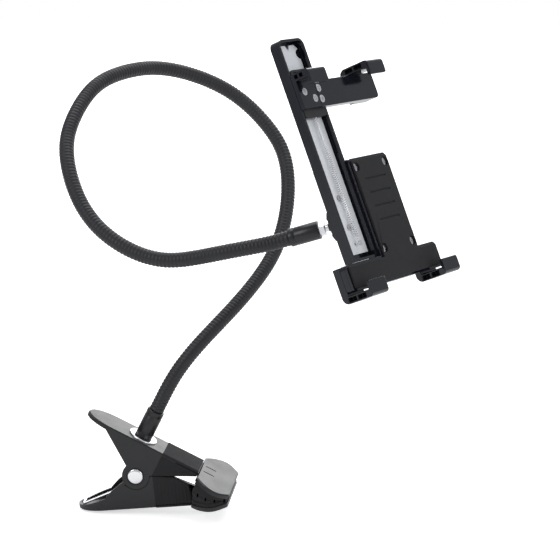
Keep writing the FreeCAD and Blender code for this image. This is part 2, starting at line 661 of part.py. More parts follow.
def make_ball_joint():
    out = end_direction()
    collar_end = NECK_END + out * COLLAR_L
    # the end collar is the base collar turned round, bored for the stud
    save("end_collar", collar(collar_end, out * -1, STUD_R + RUN, COLLAR_L - CORE_GRIP - 2))
    stud_in = COLLAR_L - CORE_GRIP - 2
    ball_bore = BALL_R * 0.6
    stud = rod(collar_end - out * stud_in, out, STUD_R, stud_in + STUD_REACH - BALL_R + ball_bore)
    save("ball_stud", stud)
    corner = STUD_NUT_FLATS / 2 / cos(pi / 6)
    hexagon = [V(corner * cos(pi * i / 3), corner * sin(pi * i / 3), 0) for i in range(6)]
    nut = prism(hexagon, V(0, 0, STUD_NUT_T)).cut(rod(V(0, 0, -1), V(0, 0, 1), STUD_R, STUD_NUT_T + 2))
    nut.Placement = FreeCAD.Placement(collar_end, FreeCAD.Rotation(V(0, 0, 1), out))
    save("stud_lock_nut", nut)
    bands = [pi * i / BALL_BANDS for i in range(BALL_BANDS + 1)]
    ball = ringed([(BALL_R * sin(a), BALL_R * cos(a)) for a in bands], BALL_AT, out, BALL_SIDES)
    ball = ball.cut(rod(BALL_AT - out * (2 * BALL_R), out, STUD_R + RUN, BALL_R + ball_bore + GAP))
    save("ball", ball)

    place = holder_place()
    centre = V(0, HUB_Y, BALL_DEPTH)
    back = V(0, 0, 1)
    save("socket_liner", placed(make_liner(centre, back), place))
    save("socket_ring_nut", placed(make_ring_nut(centre, back), place))


LINER_R = BALL_R + RUN + LINER_T


def make_liner(centre, back):
    """Cup that holds the ball on tangent bands, with a tapered rim that the ring nut squeezes."""
    inner = around(BALL_R + RUN, BALL_SIDES)

    def corner(angle):
        """Where the bands that touch the ball 15 degrees to each side of an angle meet."""
        reach = inner / cos(radians(15))
        return (reach * sin(radians(angle)), reach * cos(radians(angle)))

    rim = (inner - LINER_LIP * cos(radians(60))) / sin(radians(60))
    foot = (LINER_HOLE * sin(radians(150)) - inner) / -cos(radians(150))
    profile = [(LINER_HOLE, -LINER_BASE), (LINER_R, -LINER_BASE), (LINER_R, LINER_TAPER_AT),
               (LINER_R - LINER_TAPER, LINER_LIP), (rim, LINER_LIP), corner(75), corner(105), corner(135),
               (LINER_HOLE, foot)]
    return ringed(profile, centre, back, BALL_SIDES)


def nut_outline(centre, height, inset):
    """Plan of the ring nut: raised grips with channels between them."""
    points = []
    step = 360 / NUT_GRIPS
    for i in range(NUT_GRIPS):
        for share, low in ((-0.27, 0), (0.27, 0), (0.37, 1), (0.63, 1)):
            angle = radians((i + share) * step)
            radius = NUT_R - inset - low * GRIP_STEP
            points.append(centre + V(radius * cos(angle), radius * sin(angle), height))
    return Part.makePolygon(points + points[:1])


def make_ring_nut(centre, back):
    """Ring nut with grips, a bore over the hub, a seat on the liner's taper and an open mouth for the stud."""
    low, high = NUT_BACK - NUT_L, NUT_BACK
    body = Part.makeLoft([nut_outline(centre, h, i) for h, i in ((low, 0), (high - NUT_SOFT, 0), (high, NUT_SOFT))], True, True)
    body = body.cut(rod(centre + back * (low - 1), back, HUB_R + 0.1, 1 - low))
    slope = LINER_TAPER / (LINER_LIP - LINER_TAPER_AT)
    seat = LINER_R + 2 * RUN
    mouth = seat - slope * (MOUTH_LIP - LINER_TAPER_AT)
    hollow = [(0, -1), (seat, -1), (seat, LINER_TAPER_AT), (mouth, MOUTH_LIP), (mouth + high + 1 - MOUTH_LIP, high + 1),
              (0, high + 1)]
    hollow = [(around(r, BALL_SIDES), h) for r, h in hollow]
    return body.cut(ringed(hollow, centre, back, BALL_SIDES))


# Holder

def claw(width, reach_back, leg_front, leg_len, side):
    """A J-shaped claw about x = 0. side is 1 for the lower edge of the tablet and -1 for the upper."""
    lip_out = -(FIT + 0.1) - LIP_PAD_T - LIP_T
    lip_in = -(FIT + 0.1) - LIP_PAD_T
    y_in = HALF_TABLET + FIT
    y_out = y_in + CLAW_T
    y_tip = HALF_TABLET - LIP_REACH
    y_leg = y_out - leg_len - CLAW_T
    points = [
        (y_tip, lip_out), (y_out, lip_out), (y_out, reach_back), (y_leg, reach_back),
        (y_leg, leg_front), (y_in, leg_front), (y_in, lip_in), (y_tip, lip_in),
    ]
    outline = [V(-width / 2, side * y, z) for y, z in points]
    body = prism(outline, V(width, 0, 0))
    body = fillet_near(body, 2.6, lambda p, e: abs(abs(p.y) - y_out) < 0.01 and abs(p.z - lip_out) < 0.01)
    bend = min(4.5, (reach_back - leg_front) * 0.9)
    body = fillet_near(body, bend, lambda p, e: abs(abs(p.y) - y_out) < 0.01 and abs(p.z - reach_back) < 0.01)
    body = fillet_near(body, 1.6, lambda p, e: abs(abs(p.y) - y_tip) < 0.01 and abs(abs(p.x) - width / 2) < 0.01)
    # hollow sides of the shelf, with a rib left in the middle
    rim = 1.1
    z0, z1 = 1.5, reach_back - bend
    rib = 1.2
    half = (z1 - z0 - rib) / 2
    for s in (1, -1):
        for start in (z0, z0 + half + rib):
            y0, y1 = sorted((side * (y_in + rim), side * (y_out - rim)))
            x0, x1 = sorted((s * (width / 2 - 5), s * (width / 2 + 1)))
            body = body.cut(box(x0, x1, y0, y1, start, start + half))
    return body


def lip_pad(x, side):
    """Rubber pad inside a claw's lip."""
    z1 = -(FIT + 0.1)
    y0, y1 = sorted((side * (HALF_TABLET - LIP_REACH + 0.4), side * (HALF_TABLET + FIT - 0.4)))
    return box(x - CLAW_W / 2 + 1, x + CLAW_W / 2 - 1, y0, y1, z1 - LIP_PAD_T, z1)


def flat_screw(x, y, z, length):
    """Countersunk screw whose flat head looks towards the tablet."""
    depth = SCREW_HEAD_R - SCREW_R
    profile = [(0, 0), (SCREW_HEAD_R, 0), (SCREW_R, depth), (SCREW_R, length), (0, length)]
    return ringed(profile, V(x, y, z), V(0, 0, 1), SCREW_SIDES)


def flat_hole(x, y, z, length, play):
    depth = SCREW_HEAD_R - SCREW_R
    wide, slim = SCREW_HEAD_R + play, SCREW_R + play
    profile = [(0, -1), (wide, -1), (wide, 0), (slim, depth), (slim, length), (0, length)]
    return ringed(profile, V(x, y, z), V(0, 0, 1), SCREW_SIDES)


def pan_screw(x, y, z, length):
    """Pan-head screw driven from behind: the head lies outside z, the shank runs towards the tablet."""
    head_t = 1.7
    profile = [(0, -length), (SCREW_R, -length), (SCREW_R, 0), (SCREW_HEAD_R, 0), (SCREW_HEAD_R, head_t * 0.55),
               (SCREW_HEAD_R - 0.8, head_t), (0, head_t)]
    screw = ringed(profile, V(x, y, z), V(0, 0, 1), SCREW_SIDES)
    return screw.cut(box(x - 1.6, x + 1.6, y - 0.3, y + 0.3, z + head_t - 0.7, z + head_t + 1))


BEAM_LOW = HALF_TABLET - BEAM_INSET
BEAM_TOP = BEAM_LOW - BEAM_H
COVER_FRONT = PAD_FRONT + PAD_T
COVER_BACK = COVER_FRONT + COVER_T
TRACK_LEFT, TRACK_RIGHT = TRACK_X - TRACK_W / 2, TRACK_X + TRACK_W / 2
TRACK_END = BEAM_TOP - GAP
BEAM_LEFT = LOWER_LEFT_X - CLAW_W / 2
BEAM_RIGHT = LOWER_RIGHT_X + CLAW_W / 2
CASE_LEFT = TRACK_RIGHT
GUIDE_FRONT = TRACK_BACK - TRACK_FLOOR - PLATE_RAIL - GUIDE_T
UPPER_BACK = UPPER_PLANE + UPPER_T
SCREW_GRIP = 4.5          # how far a screw bites into a moulding
TRACK_SCREWS_Y = (8.0, 27.0)
CASE_SCREWS = [(CASE_LEFT + 5, CASE_TOP + 6), (CASE_RIGHT - 5, CASE_TOP + 6), (CASE_LEFT + 5, BEAM_TOP - 4),
               (CASE_RIGHT - 5, BEAM_TOP - 4)]


def claw_screw_places(x, side):
    """Two screws in a long claw's leg, one above the other."""
    edge = HALF_TABLET + FIT - CLAW_LEG
    return [(x + dx, side * (edge + 8.5)) for dx in (-4.5, 4.5)]


def pilot(x, y, z, play=RUN):
    """Blind hole for a screw that comes from behind."""
    return post(x, y, z - SCREW_GRIP - 0.3, z + 1, SCREW_R + play)


def make_rear_housing():
    """Cross beam, central case, flange behind the track and the ball's hub, as one moulding."""
    beam = box(BEAM_LEFT, BEAM_RIGHT, BEAM_TOP, BEAM_LOW, COVER_BACK, BEAM_BACK)
    beam = fillet_near(beam, 3.0, lambda p, e: abs(p.z - (COVER_BACK + BEAM_BACK) / 2) < 0.01)
    case = box(CASE_LEFT, CASE_RIGHT, CASE_TOP, BEAM_LOW, COVER_BACK, CASE_BACK)
    case = fillet_near(case, 4.0, lambda p, e: abs(p.z - (COVER_BACK + CASE_BACK) / 2) < 0.01 and p.x > 0)
    flange = box(TRACK_LEFT + 3, CASE_LEFT + 4, CASE_TOP + 2, TRACK_END - 1, TRACK_BACK, TRACK_BACK + FLANGE_T)
    hub = rod(V(0, HUB_Y, CASE_BACK - 1), V(0, 0, 1), HUB_R, BALL_DEPTH - GAP - CASE_BACK + 1)
    skirt = ringed([(0, 0), (HUB_R + 4, 0), (HUB_R, 3), (0, 3)], V(0, HUB_Y, CASE_BACK), V(0, 0, 1), PIECE_SIDES)
    body = beam.fuse([case, flange, hub, skirt])
    # hollow front of the case, with screw posts
    hollow = box(CASE_LEFT + SHELL, CASE_RIGHT - SHELL, CASE_TOP + SHELL, BEAM_TOP - 1, COVER_BACK - 1, CASE_BACK - SHELL)
    for x, y in CASE_SCREWS:
        hollow = hollow.cut(post(x, y, COVER_BACK - 2, CASE_BACK, 3.2))
    body = body.cut(hollow)
    # hollow front of the beam, ribbed every pocket, solid under the claws' screws
    x = BEAM_LEFT + CLAW_W + 1
    pocket = 11.0
    while x + pocket < BEAM_RIGHT - CLAW_W - 1:
        body = body.cut(box(x, x + pocket, BEAM_TOP + SHELL + 1, BEAM_LOW - SHELL, COVER_BACK - 1, BEAM_BACK - SHELL * 0.7))
        x += pocket + SHELL
    body = body.cut(rod(V(0, HUB_Y, BALL_DEPTH - LINER_BASE - RUN), V(0, 0, 1), LINER_R + RUN, 2 * LINER_BASE))
    for x, y in CASE_SCREWS:
        body = body.cut(post(x, y, COVER_BACK - 1, COVER_BACK + SCREW_GRIP + 0.5, SCREW_R + RUN))
    for y in TRACK_SCREWS_Y:
        body = body.cut(post(TRACK_X, y, TRACK_BACK - 1, TRACK_BACK + FLANGE_T + 1, SCREW_R + RUN))
    for x in (LOWER_LEFT_X, LOWER_RIGHT_X):
        for sx, sy in claw_screw_places(x, 1):
            body = body.cut(post(sx, sy, COVER_BACK - 1, BEAM_BACK + 1, SCREW_R + RUN))
    return body.removeSplitter()


def cover_outline(z0, z1, inset):
    """Plan of the front cover and pad: the case and the beam under it."""
    i = inset
    case = box(CASE_LEFT + i, CASE_RIGHT - i, CASE_TOP + i, BEAM_LOW - i, z0, z1)
    beam = box(BEAM_LEFT + i, BEAM_RIGHT - i, BEAM_TOP + i, BEAM_LOW - i, z0, z1)
    corner = max(3.0 - i, 0.5)
    case = fillet_near(case, corner, lambda p, e: abs(p.z - (z0 + z1) / 2) < 0.01 and p.y < 0)
    beam = fillet_near(beam, corner, lambda p, e: abs(p.z - (z0 + z1) / 2) < 0.01)
    return case.fuse(beam).removeSplitter()


def make_front_cover():
    cover = cover_outline(COVER_FRONT, COVER_BACK, 0)
    for x, y in CASE_SCREWS:
        cover = cover.cut(flat_hole(x, y, COVER_FRONT, COVER_T + 1, 0.1))
    return cover


def make_grip_pad():
    """Soft pad with a window round each cover screw and four grooves along it."""
    pad = cover_outline(PAD_FRONT, COVER_FRONT, 1.5)
    for x, y in CASE_SCREWS:
        pad = pad.cut(post(x, y, PAD_FRONT - 1, COVER_FRONT + 1, SCREW_HEAD_R + 0.6))
    for i in range(4):
        y = CASE_TOP + 14 + i * 9
        pad = pad.cut(box(CASE_LEFT + 10, CASE_RIGHT - 10, y, y + 1.2, PAD_FRONT - 1, PAD_FRONT + 0.6))
    return pad


def make_slide_track():
    """Open-fronted channel with rounded top corners, runner grooves and rails under the guide plate."""
    track = box(TRACK_LEFT, TRACK_RIGHT, TRACK_TOP, TRACK_END, TRACK_FRONT, TRACK_BACK)
    track = fillet_near(track, TRACK_CORNER, lambda p, e: abs(p.z - (TRACK_FRONT + TRACK_BACK) / 2) < 0.01 and p.y < 0)
    w = TRACK_WALL
    inside = box(TRACK_LEFT + w, TRACK_RIGHT - w, TRACK_TOP + w, TRACK_END - w, TRACK_FRONT - 1, TRACK_BACK - TRACK_FLOOR)
    round_in = TRACK_CORNER - w
    inside = fillet_near(inside, round_in, lambda p, e: p.y < 0 and TRACK_FRONT < p.z < TRACK_BACK - TRACK_FLOOR - 1)
    track = track.cut(inside)
    z0 = GUIDE_FRONT - 2.0
    groove_end = CARRIAGE_TOP + CARRIAGE_L - RUNNER_INSET + SLIDE_DOWN + 0.5
    grooves = box(TRACK_LEFT + w - GROOVE, TRACK_RIGHT - w + GROOVE, TRACK_TOP + TRACK_CORNER, groove_end, z0, z0 + 1.6)
    track = track.cut(grooves)
    floor = TRACK_BACK - TRACK_FLOOR
    for s in (1, -1):
        x = TRACK_X + s * (GUIDE_W / 2 - 2)
        rail = box(x - 0.8, x + 0.8, TRACK_TOP + w + 6, TRACK_END - w - 2, floor - PLATE_RAIL, floor + 0.2)
        track = track.fuse(rail)
    for y in TRACK_SCREWS_Y:
        pad = post(TRACK_X, y, floor - PLATE_RAIL, floor + 0.2, 3.4)
        track = track.fuse(pad).cut(post(TRACK_X, y, TRACK_FRONT, TRACK_BACK + 1, SCREW_R + RUN))
    return track.cut(post(TRACK_X, SPRING_POST_Y, TRACK_FRONT, TRACK_BACK + 1, SPRING_POST_R + RUN)).removeSplitter()


def make_guide_plate():
    """Chromed strip with chamfered top corners, a V notch and a half-round bite in each side."""
    top = TRACK_TOP + TRACK_WALL + GUIDE_TOP_GAP
    low = TRACK_END - TRACK_WALL - 3
    half = GUIDE_W / 2
    chamfer = 2.4
    points = [(-half, top + chamfer), (-half + chamfer, top), (-NOTCH / 2, top), (0, top + NOTCH), (NOTCH / 2, top),
              (half - chamfer, top), (half, top + chamfer), (half, low), (-half, low)]
    plate = prism([V(TRACK_X + x, y, GUIDE_FRONT) for x, y in points], V(0, 0, GUIDE_T))
    for s in (1, -1):
        at = V(TRACK_X + s * (half + 0.6), top + 6.2, GUIDE_FRONT - 1)
        plate = plate.cut(rod(at, V(0, 0, 1), BITE_R, GUIDE_T + 2))
    for y in TRACK_SCREWS_Y:
        plate = plate.cut(flat_hole(TRACK_X, y, GUIDE_FRONT, GUIDE_T + 1, 0.1))
    return plate.cut(post(TRACK_X, SPRING_POST_Y, GUIDE_FRONT - 1, TRACK_BACK, SPRING_POST_R + 0.1))


def make_carriage():
    """Slider with side runners, a hollow top end and a lug for the return spring."""
    half = TRACK_W / 2 - TRACK_WALL - SLIDE
    low = CARRIAGE_TOP + CARRIAGE_L
    back = GUIDE_FRONT - GAP
    body = box(TRACK_X - half, TRACK_X + half, CARRIAGE_TOP, low, UPPER_BACK, back)
    body = fillet_near(body, 2.5, lambda p, e: abs(p.z - (UPPER_BACK + back) / 2) < 0.01)
    z0 = GUIDE_FRONT - 2.0 + SLIDE
    run = half + SLIDE + GROOVE - SLIDE
    body = body.fuse(box(TRACK_X - run, TRACK_X + run, CARRIAGE_TOP + RUNNER_INSET, low - RUNNER_INSET,
                         z0, z0 + 1.6 - 2 * SLIDE))
    body = body.cut(box(TRACK_X - half + 3, TRACK_X + half - 3, CARRIAGE_TOP + 1.5, -HALF_TABLET - CLAW_T - 1,
                        UPPER_BACK - 1, back - 1.5))
    spring_z = GUIDE_FRONT - 0.4 - RETURN_SPRING_R
    body = body.cut(box(TRACK_X - 2.2, TRACK_X + 2.2, low - 6, low + 1, spring_z - RETURN_SPRING_R - 0.3, back + 1))
    lug = rod(V(TRACK_X - 2.4, low - 4.5, spring_z), V(1, 0, 0), 0.8, 4.8)
    body = body.fuse(lug)
    for x, y in carriage_screws():
        body = body.cut(post(x, y, UPPER_BACK - 1, UPPER_BACK + 3.2, SCREW_R + RUN))
    return body.removeSplitter()


def carriage_screws():
    """Two flat screws through the short claw's leg and two through the bar's tongue."""
    y = -HALF_TABLET
    return [(UPPER_LEFT_X - 3.5, y + 7), (UPPER_LEFT_X + 5.5, y + 12), (TONGUE_LEFT + 3.0, y + 6), (TONGUE_LEFT + 3.0, y + 13)]


TONGUE_LEFT = UPPER_LEFT_X + CLAW_W / 2 + GAP


def make_upper_bar():
    """Cross bar: a thin tongue over the track's wall and carriage, a ribbed hollow beam beyond it."""
    right = UPPER_RIGHT_X + CLAW_W / 2
    y0, y1 = -BEAM_LOW, -BEAM_TOP
    tongue = box(TONGUE_LEFT, TRACK_RIGHT + 2, y0, y1, UPPER_PLANE, UPPER_BACK)
    beam_left = TRACK_RIGHT + GAP
    beam = box(beam_left, right, y0, y1, UPPER_PLANE, BEAM_BACK)
    beam = fillet_near(beam, 3.0, lambda p, e: abs(p.z - (UPPER_PLANE + BEAM_BACK) / 2) < 0.01 and p.x > 0)
    pocket = 8.6
    x = beam_left + SHELL
    while x + pocket < right - CLAW_W - 1:
        beam = beam.cut(box(x, x + pocket, y0 + SHELL, y1 - SHELL, UPPER_PLANE + SHELL, BEAM_BACK + 1))
        x += pocket + SHELL
    body = tongue.fuse(beam)
    for x, y in carriage_screws()[2:]:
        body = body.cut(flat_hole(x, y, UPPER_PLANE, UPPER_T + 1, 0.1))
    for x, y in claw_screw_places(UPPER_RIGHT_X, -1):
        body = body.cut(pilot(x, y, BEAM_BACK))
    return body.removeSplitter()


def make_holder():
    place = holder_place()
    spring_z = GUIDE_FRONT - 0.4 - RETURN_SPRING_R

    def put(name, shape):
        save(name, placed(shape, place))

    put("rear_housing", make_rear_housing())
    put("front_cover", make_front_cover())
    put("grip_pad", make_grip_pad())
    put("slide_track", make_slide_track())
    put("guide_plate", make_guide_plate())
    put("slide_carriage", make_carriage())
    put("upper_bar", make_upper_bar())

    leg_front = BEAM_BACK
    long_low = claw(CLAW_W, CLAW_BACK, leg_front, CLAW_LEG, 1)
    for name, x in (("lower_left_claw", LOWER_LEFT_X), ("lower_right_claw", LOWER_RIGHT_X)):
        piece = long_low.copy()
        piece.translate(V(x, 0, 0))
        for sx, sy in claw_screw_places(x, 1):
            piece = piece.cut(post(sx, sy, leg_front - 1, CLAW_BACK + 1, SCREW_R + 0.1))
        put(name, piece)
    piece = claw(CLAW_W, CLAW_BACK, leg_front, CLAW_LEG, -1)
    piece.translate(V(UPPER_RIGHT_X, 0, 0))
    for sx, sy in claw_screw_places(UPPER_RIGHT_X, -1):
        piece = piece.cut(post(sx, sy, leg_front - 1, CLAW_BACK + 1, SCREW_R + 0.1))
    put("upper_right_claw", piece)
    piece = claw(CLAW_W, UPPER_BACK, UPPER_PLANE, CLAW_LEG, -1)
    piece.translate(V(UPPER_LEFT_X, 0, 0))
    for sx, sy in carriage_screws()[:2]:
        piece = piece.cut(flat_hole(sx, sy, UPPER_PLANE, UPPER_T + 1, 0.1))
    put("upper_left_claw", piece)

    lower, upper, cover, track = [], [], [], []
    for x in (LOWER_LEFT_X, LOWER_RIGHT_X):
        for sx, sy in claw_screw_places(x, 1):
            lower.append(pan_screw(sx, sy, CLAW_BACK, CLAW_BACK - BEAM_BACK + SCREW_GRIP - 1.2))
    for sx, sy in claw_screw_places(UPPER_RIGHT_X, -1):
        upper.append(pan_screw(sx, sy, CLAW_BACK, CLAW_BACK - BEAM_BACK + SCREW_GRIP - 1.2))
    for sx, sy in carriage_screws():
        upper.append(flat_screw(sx, sy, UPPER_PLANE, UPPER_T + 2.8))
    for sx, sy in CASE_SCREWS:
        cover.append(flat_screw(sx, sy, COVER_FRONT, COVER_T + SCREW_GRIP))
    for sy in TRACK_SCREWS_Y:
        track.append(flat_screw(TRACK_X, sy, GUIDE_FRONT, TRACK_BACK + FLANGE_T - GUIDE_FRONT))
    put("lower_claw_screws", Part.makeCompound(lower))
    put("upper_grip_screws", Part.makeCompound(upper))
    put("cover_screws", Part.makeCompound(cover))
    put("track_screws", Part.makeCompound(track))
    put("lower_claw_pads", Part.makeCompound([lip_pad(x, 1) for x in (LOWER_LEFT_X, LOWER_RIGHT_X)]))
    put("upper_claw_pads", Part.makeCompound([lip_pad(x, -1) for x in (UPPER_LEFT_X, UPPER_RIGHT_X)]))

    # return spring between the carriage's lug and a post in the track's floor, drawn as a plain tube
    low = CARRIAGE_TOP + CARRIAGE_L
    end = SPRING_POST_Y - SPRING_POST_R - 0.8 - GAP
    start = low - 3.2
    spring = [(RETURN_SPRING_BORE, 0), (RETURN_SPRING_R, 0), (RETURN_SPRING_R, end - start),
              (RETURN_SPRING_BORE, end - start)]
    put("return_spring", ringed(spring, V(TRACK_X, start, spring_z), V(0, 1, 0), 12))
    head = spring_z - RETURN_SPRING_R
    pin = post(TRACK_X, SPRING_POST_Y, head, TRACK_BACK, SPRING_POST_R)
    put("spring_post", pin.fuse(post(TRACK_X, SPRING_POST_Y, head, head + 0.8, SPRING_POST_R + 0.8)).removeSplitter())


make_clamp()
make_neck()
make_ball_joint()
make_holder()
print("ball centre", [round(v, 2) for v in BALL_AT], "stem", [round(v, 3) for v in end_direction()])
tilt = degrees(acos(end_direction().dot(holder_place().Rotation.multVec(V(0, 0, -1)))))
print("stem leans from the holder's axis by", round(tilt, 2), "degrees")
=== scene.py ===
import json
from math import cos, pi, radians, sin

import bmesh
import bpy
import numpy as np
from mathutils import Matrix, Vector


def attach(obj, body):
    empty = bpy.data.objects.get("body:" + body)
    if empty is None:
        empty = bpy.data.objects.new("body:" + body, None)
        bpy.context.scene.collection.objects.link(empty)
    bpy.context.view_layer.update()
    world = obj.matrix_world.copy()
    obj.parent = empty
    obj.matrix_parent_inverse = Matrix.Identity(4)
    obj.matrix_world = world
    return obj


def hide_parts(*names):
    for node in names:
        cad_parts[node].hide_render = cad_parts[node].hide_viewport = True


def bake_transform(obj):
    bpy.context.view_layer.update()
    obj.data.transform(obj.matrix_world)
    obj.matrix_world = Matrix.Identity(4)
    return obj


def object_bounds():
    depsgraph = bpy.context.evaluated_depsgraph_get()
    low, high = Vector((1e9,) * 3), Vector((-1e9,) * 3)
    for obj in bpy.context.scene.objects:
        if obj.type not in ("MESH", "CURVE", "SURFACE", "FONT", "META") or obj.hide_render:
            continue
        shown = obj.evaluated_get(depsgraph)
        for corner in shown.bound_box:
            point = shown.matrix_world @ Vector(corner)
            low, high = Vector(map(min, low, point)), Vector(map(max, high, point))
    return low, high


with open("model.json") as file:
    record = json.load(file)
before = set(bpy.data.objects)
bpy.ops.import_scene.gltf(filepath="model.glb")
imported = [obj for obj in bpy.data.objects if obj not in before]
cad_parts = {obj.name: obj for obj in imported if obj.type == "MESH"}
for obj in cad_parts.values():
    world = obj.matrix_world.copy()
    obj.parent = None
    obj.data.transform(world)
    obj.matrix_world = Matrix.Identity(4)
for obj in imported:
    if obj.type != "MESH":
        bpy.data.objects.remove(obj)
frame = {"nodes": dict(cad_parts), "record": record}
cad_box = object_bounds()
nodes = frame["nodes"]
slot_of = {s["node"]: s["material_slot"] for s in frame["record"]["subparts"]}
body_of = {n: b for b, names in frame["record"]["behaviour"]["bodies"].items() for n in names}

MM = 0.001      # sizes here are in millimetres, and meshes are in metres


# Sizes and places of the solids that the new pieces follow

PIVOT_TO_PAD = 53.0
CLAMP_DIP = 10.1          # degrees, slope of the clamp's middle plane
HALF_ANGLE = 16.1         # degrees, from that plane to each lever
LEVER_HALF_W = 13.0
LEVER_WALL = 1.57
PLATE_IN = 20.2           # inner and outer face of a lever's plate, from the pivot
PLATE_OUT = 23.0
NECK_AT = -7.5            # neck's foot on the upper lever, along it from the pivot
WASHER_T = 1.0
COLLAR_L = 20.0

HOLDER_AT = (111.3, -55.6, 226.8)
HOLDER_HEADING = 61.6     # degrees
HOLDER_DIP = 1.7
HOLDER_LEAN = 24.6
HALF_GRIP = 67.35         # middle of the holder to the gripped edges
FIT = 0.3
CLAW_W = 18.5
CLAW_LEG = 18.0
CLAW_BACK = 19.4
LOWER_CLAWS_X = (-45.5, 41.7)
UPPER_LEFT_X = -31.85
UPPER_RIGHT_X = 35.3
TRACK_X = -27.3
HUB_Y = 21.4
BALL_DEPTH = 31.0
BALL_R = 8.5
STUD_REACH = 20.5         # end collar to the ball's centre
NECK_END_RISE = 17.6      # degrees, slope and heading of the neck's last stretch
NECK_END_HEADING = -3.0

PIVOT = Vector((-PIVOT_TO_PAD * cos(radians(CLAMP_DIP)), 0, PIVOT_TO_PAD * sin(radians(CLAMP_DIP))))
LEVER_DROP = radians(CLAMP_DIP + HALF_ANGLE)
LEVER_UP = Vector((sin(LEVER_DROP), 0, cos(LEVER_DROP)))
LEVER_ALONG = Vector((cos(LEVER_DROP), 0, -sin(LEVER_DROP)))
# lever frames: x along the plate towards the jaw, y along the pivot, z out through the plate
UPPER = Matrix.Translation(PIVOT) @ Matrix.Rotation(LEVER_DROP, 4, "Y")
LOWER = (Matrix.Translation(PIVOT) @ Matrix.Rotation(radians(CLAMP_DIP - HALF_ANGLE), 4, "Y")
         @ Matrix.Rotation(pi, 4, "X"))
# holder frame: x along the gripped edges, y down from the upper to the lower one, z towards the back
HOLDER = (Matrix.Translation(HOLDER_AT) @ Matrix.Rotation(radians(HOLDER_HEADING), 4, "Z")
          @ Matrix.Rotation(radians(HOLDER_DIP), 4, "Y") @ Matrix.Rotation(radians(-HOLDER_LEAN), 4, "X")
          @ Matrix.Rotation(radians(-90), 4, "X"))
HOLDER_BACK = (HOLDER.to_3x3() @ Vector((0, 0, 1))).normalized()
BALL_AT = HOLDER @ Vector((0, HUB_Y, BALL_DEPTH))
RISE, HEADING = radians(NECK_END_RISE), radians(NECK_END_HEADING)
NECK_OUT = Vector((cos(RISE) * cos(HEADING), cos(RISE) * sin(HEADING), sin(RISE)))


def spot(place, x, y, z):
    """A point of a lever's or the holder's frame, in the meshes' metres."""
    return (place @ Vector((x, y, z))) * MM


# Shader node groups

def new_group(name, inputs, outputs):
    """An empty group with its sockets; inputs take a default number, or None for a vector."""
    tree = bpy.data.node_groups.new(name, "ShaderNodeTree")
    for label, value in inputs:
        kind = "NodeSocketVector" if value is None else "NodeSocketFloat"
        socket = tree.interface.new_socket(label, in_out="INPUT", socket_type=kind)
        if value is not None:
            socket.default_value = value
    for label in outputs:
        tree.interface.new_socket(label, in_out="OUTPUT", socket_type="NodeSocketFloat")
    return tree, tree.nodes.new("NodeGroupInput"), tree.nodes.new("NodeGroupOutput")


def mould_grain_group():
    """Fine spark-eroded grain of a moulding: a height, and a mask of patches that are rubbed smoother."""
    tree, start, end = new_group("mould_grain", [("Vector", None), ("Grain", 2600.0), ("Patch", 38.0)],
                                 ["Height", "Rubbed"])
    fine = tree.nodes.new("ShaderNodeTexNoise")
    fine.inputs["Detail"].default_value = 3.0
    fine.inputs["Roughness"].default_value = 0.62
    cells = tree.nodes.new("ShaderNodeTexVoronoi")
    cells.feature = "SMOOTH_F1"
    blend = tree.nodes.new("ShaderNodeMath")
    blend.operation = "MULTIPLY_ADD"
    blend.inputs[1].default_value = 0.45
    patch = tree.nodes.new("ShaderNodeTexNoise")
    patch.inputs["Detail"].default_value = 5.0
    patch.inputs["Roughness"].default_value = 0.7
    ramp = tree.nodes.new("ShaderNodeMapRange")
    ramp.inputs["From Min"].default_value = 0.42
    ramp.inputs["From Max"].default_value = 0.68
    link = tree.links.new
    link(start.outputs["Vector"], fine.inputs["Vector"])
    link(start.outputs["Grain"], fine.inputs["Scale"])
    link(start.outputs["Vector"], cells.inputs["Vector"])
    link(start.outputs["Grain"], cells.inputs["Scale"])
    link(cells.outputs["Distance"], blend.inputs[0])
    link(fine.outputs["Fac"], blend.inputs[2])
    link(blend.outputs["Value"], end.inputs["Height"])
    link(start.outputs["Vector"], patch.inputs["Vector"])
    link(start.outputs["Patch"], patch.inputs["Scale"])
    link(patch.outputs["Fac"], ramp.inputs["Value"])
    link(ramp.outputs["Result"], end.inputs["Rubbed"])
    return tree


def settled_dust_group():
    """Thin dust that lies in clouds and specks: a mask from 0 to 1."""
    tree, start, end = new_group("settled_dust", [("Vector", None), ("Speck", 420.0)], ["Dust"])
    specks = tree.nodes.new("ShaderNodeTexVoronoi")
    specks.feature = "F1"
    dots = tree.nodes.new("ShaderNodeMapRange")
    dots.inputs["From Min"].default_value = 0.10
    dots.inputs["From Max"].default_value = 0.03
    cloud = tree.nodes.new("ShaderNodeTexNoise")
    cloud.inputs["Scale"].default_value = 60.0
    cloud.inputs["Detail"].default_value = 6.0
    thin = tree.nodes.new("ShaderNodeMapRange")
    thin.inputs["From Min"].default_value = 0.5
    thin.inputs["From Max"].default_value = 0.8
    thin.inputs["To Max"].default_value = 0.5
    both = tree.nodes.new("ShaderNodeMath")
    both.operation = "MAXIMUM"
    link = tree.links.new
    link(start.outputs["Vector"], specks.inputs["Vector"])
    link(start.outputs["Speck"], specks.inputs["Scale"])
    link(specks.outputs["Distance"], dots.inputs["Value"])
    link(start.outputs["Vector"], cloud.inputs["Vector"])
    link(cloud.outputs["Fac"], thin.inputs["Value"])
    link(dots.outputs["Result"], both.inputs[0])
    link(thin.outputs["Result"], both.inputs[1])
    link(both.outputs["Value"], end.inputs["Dust"])
    return tree


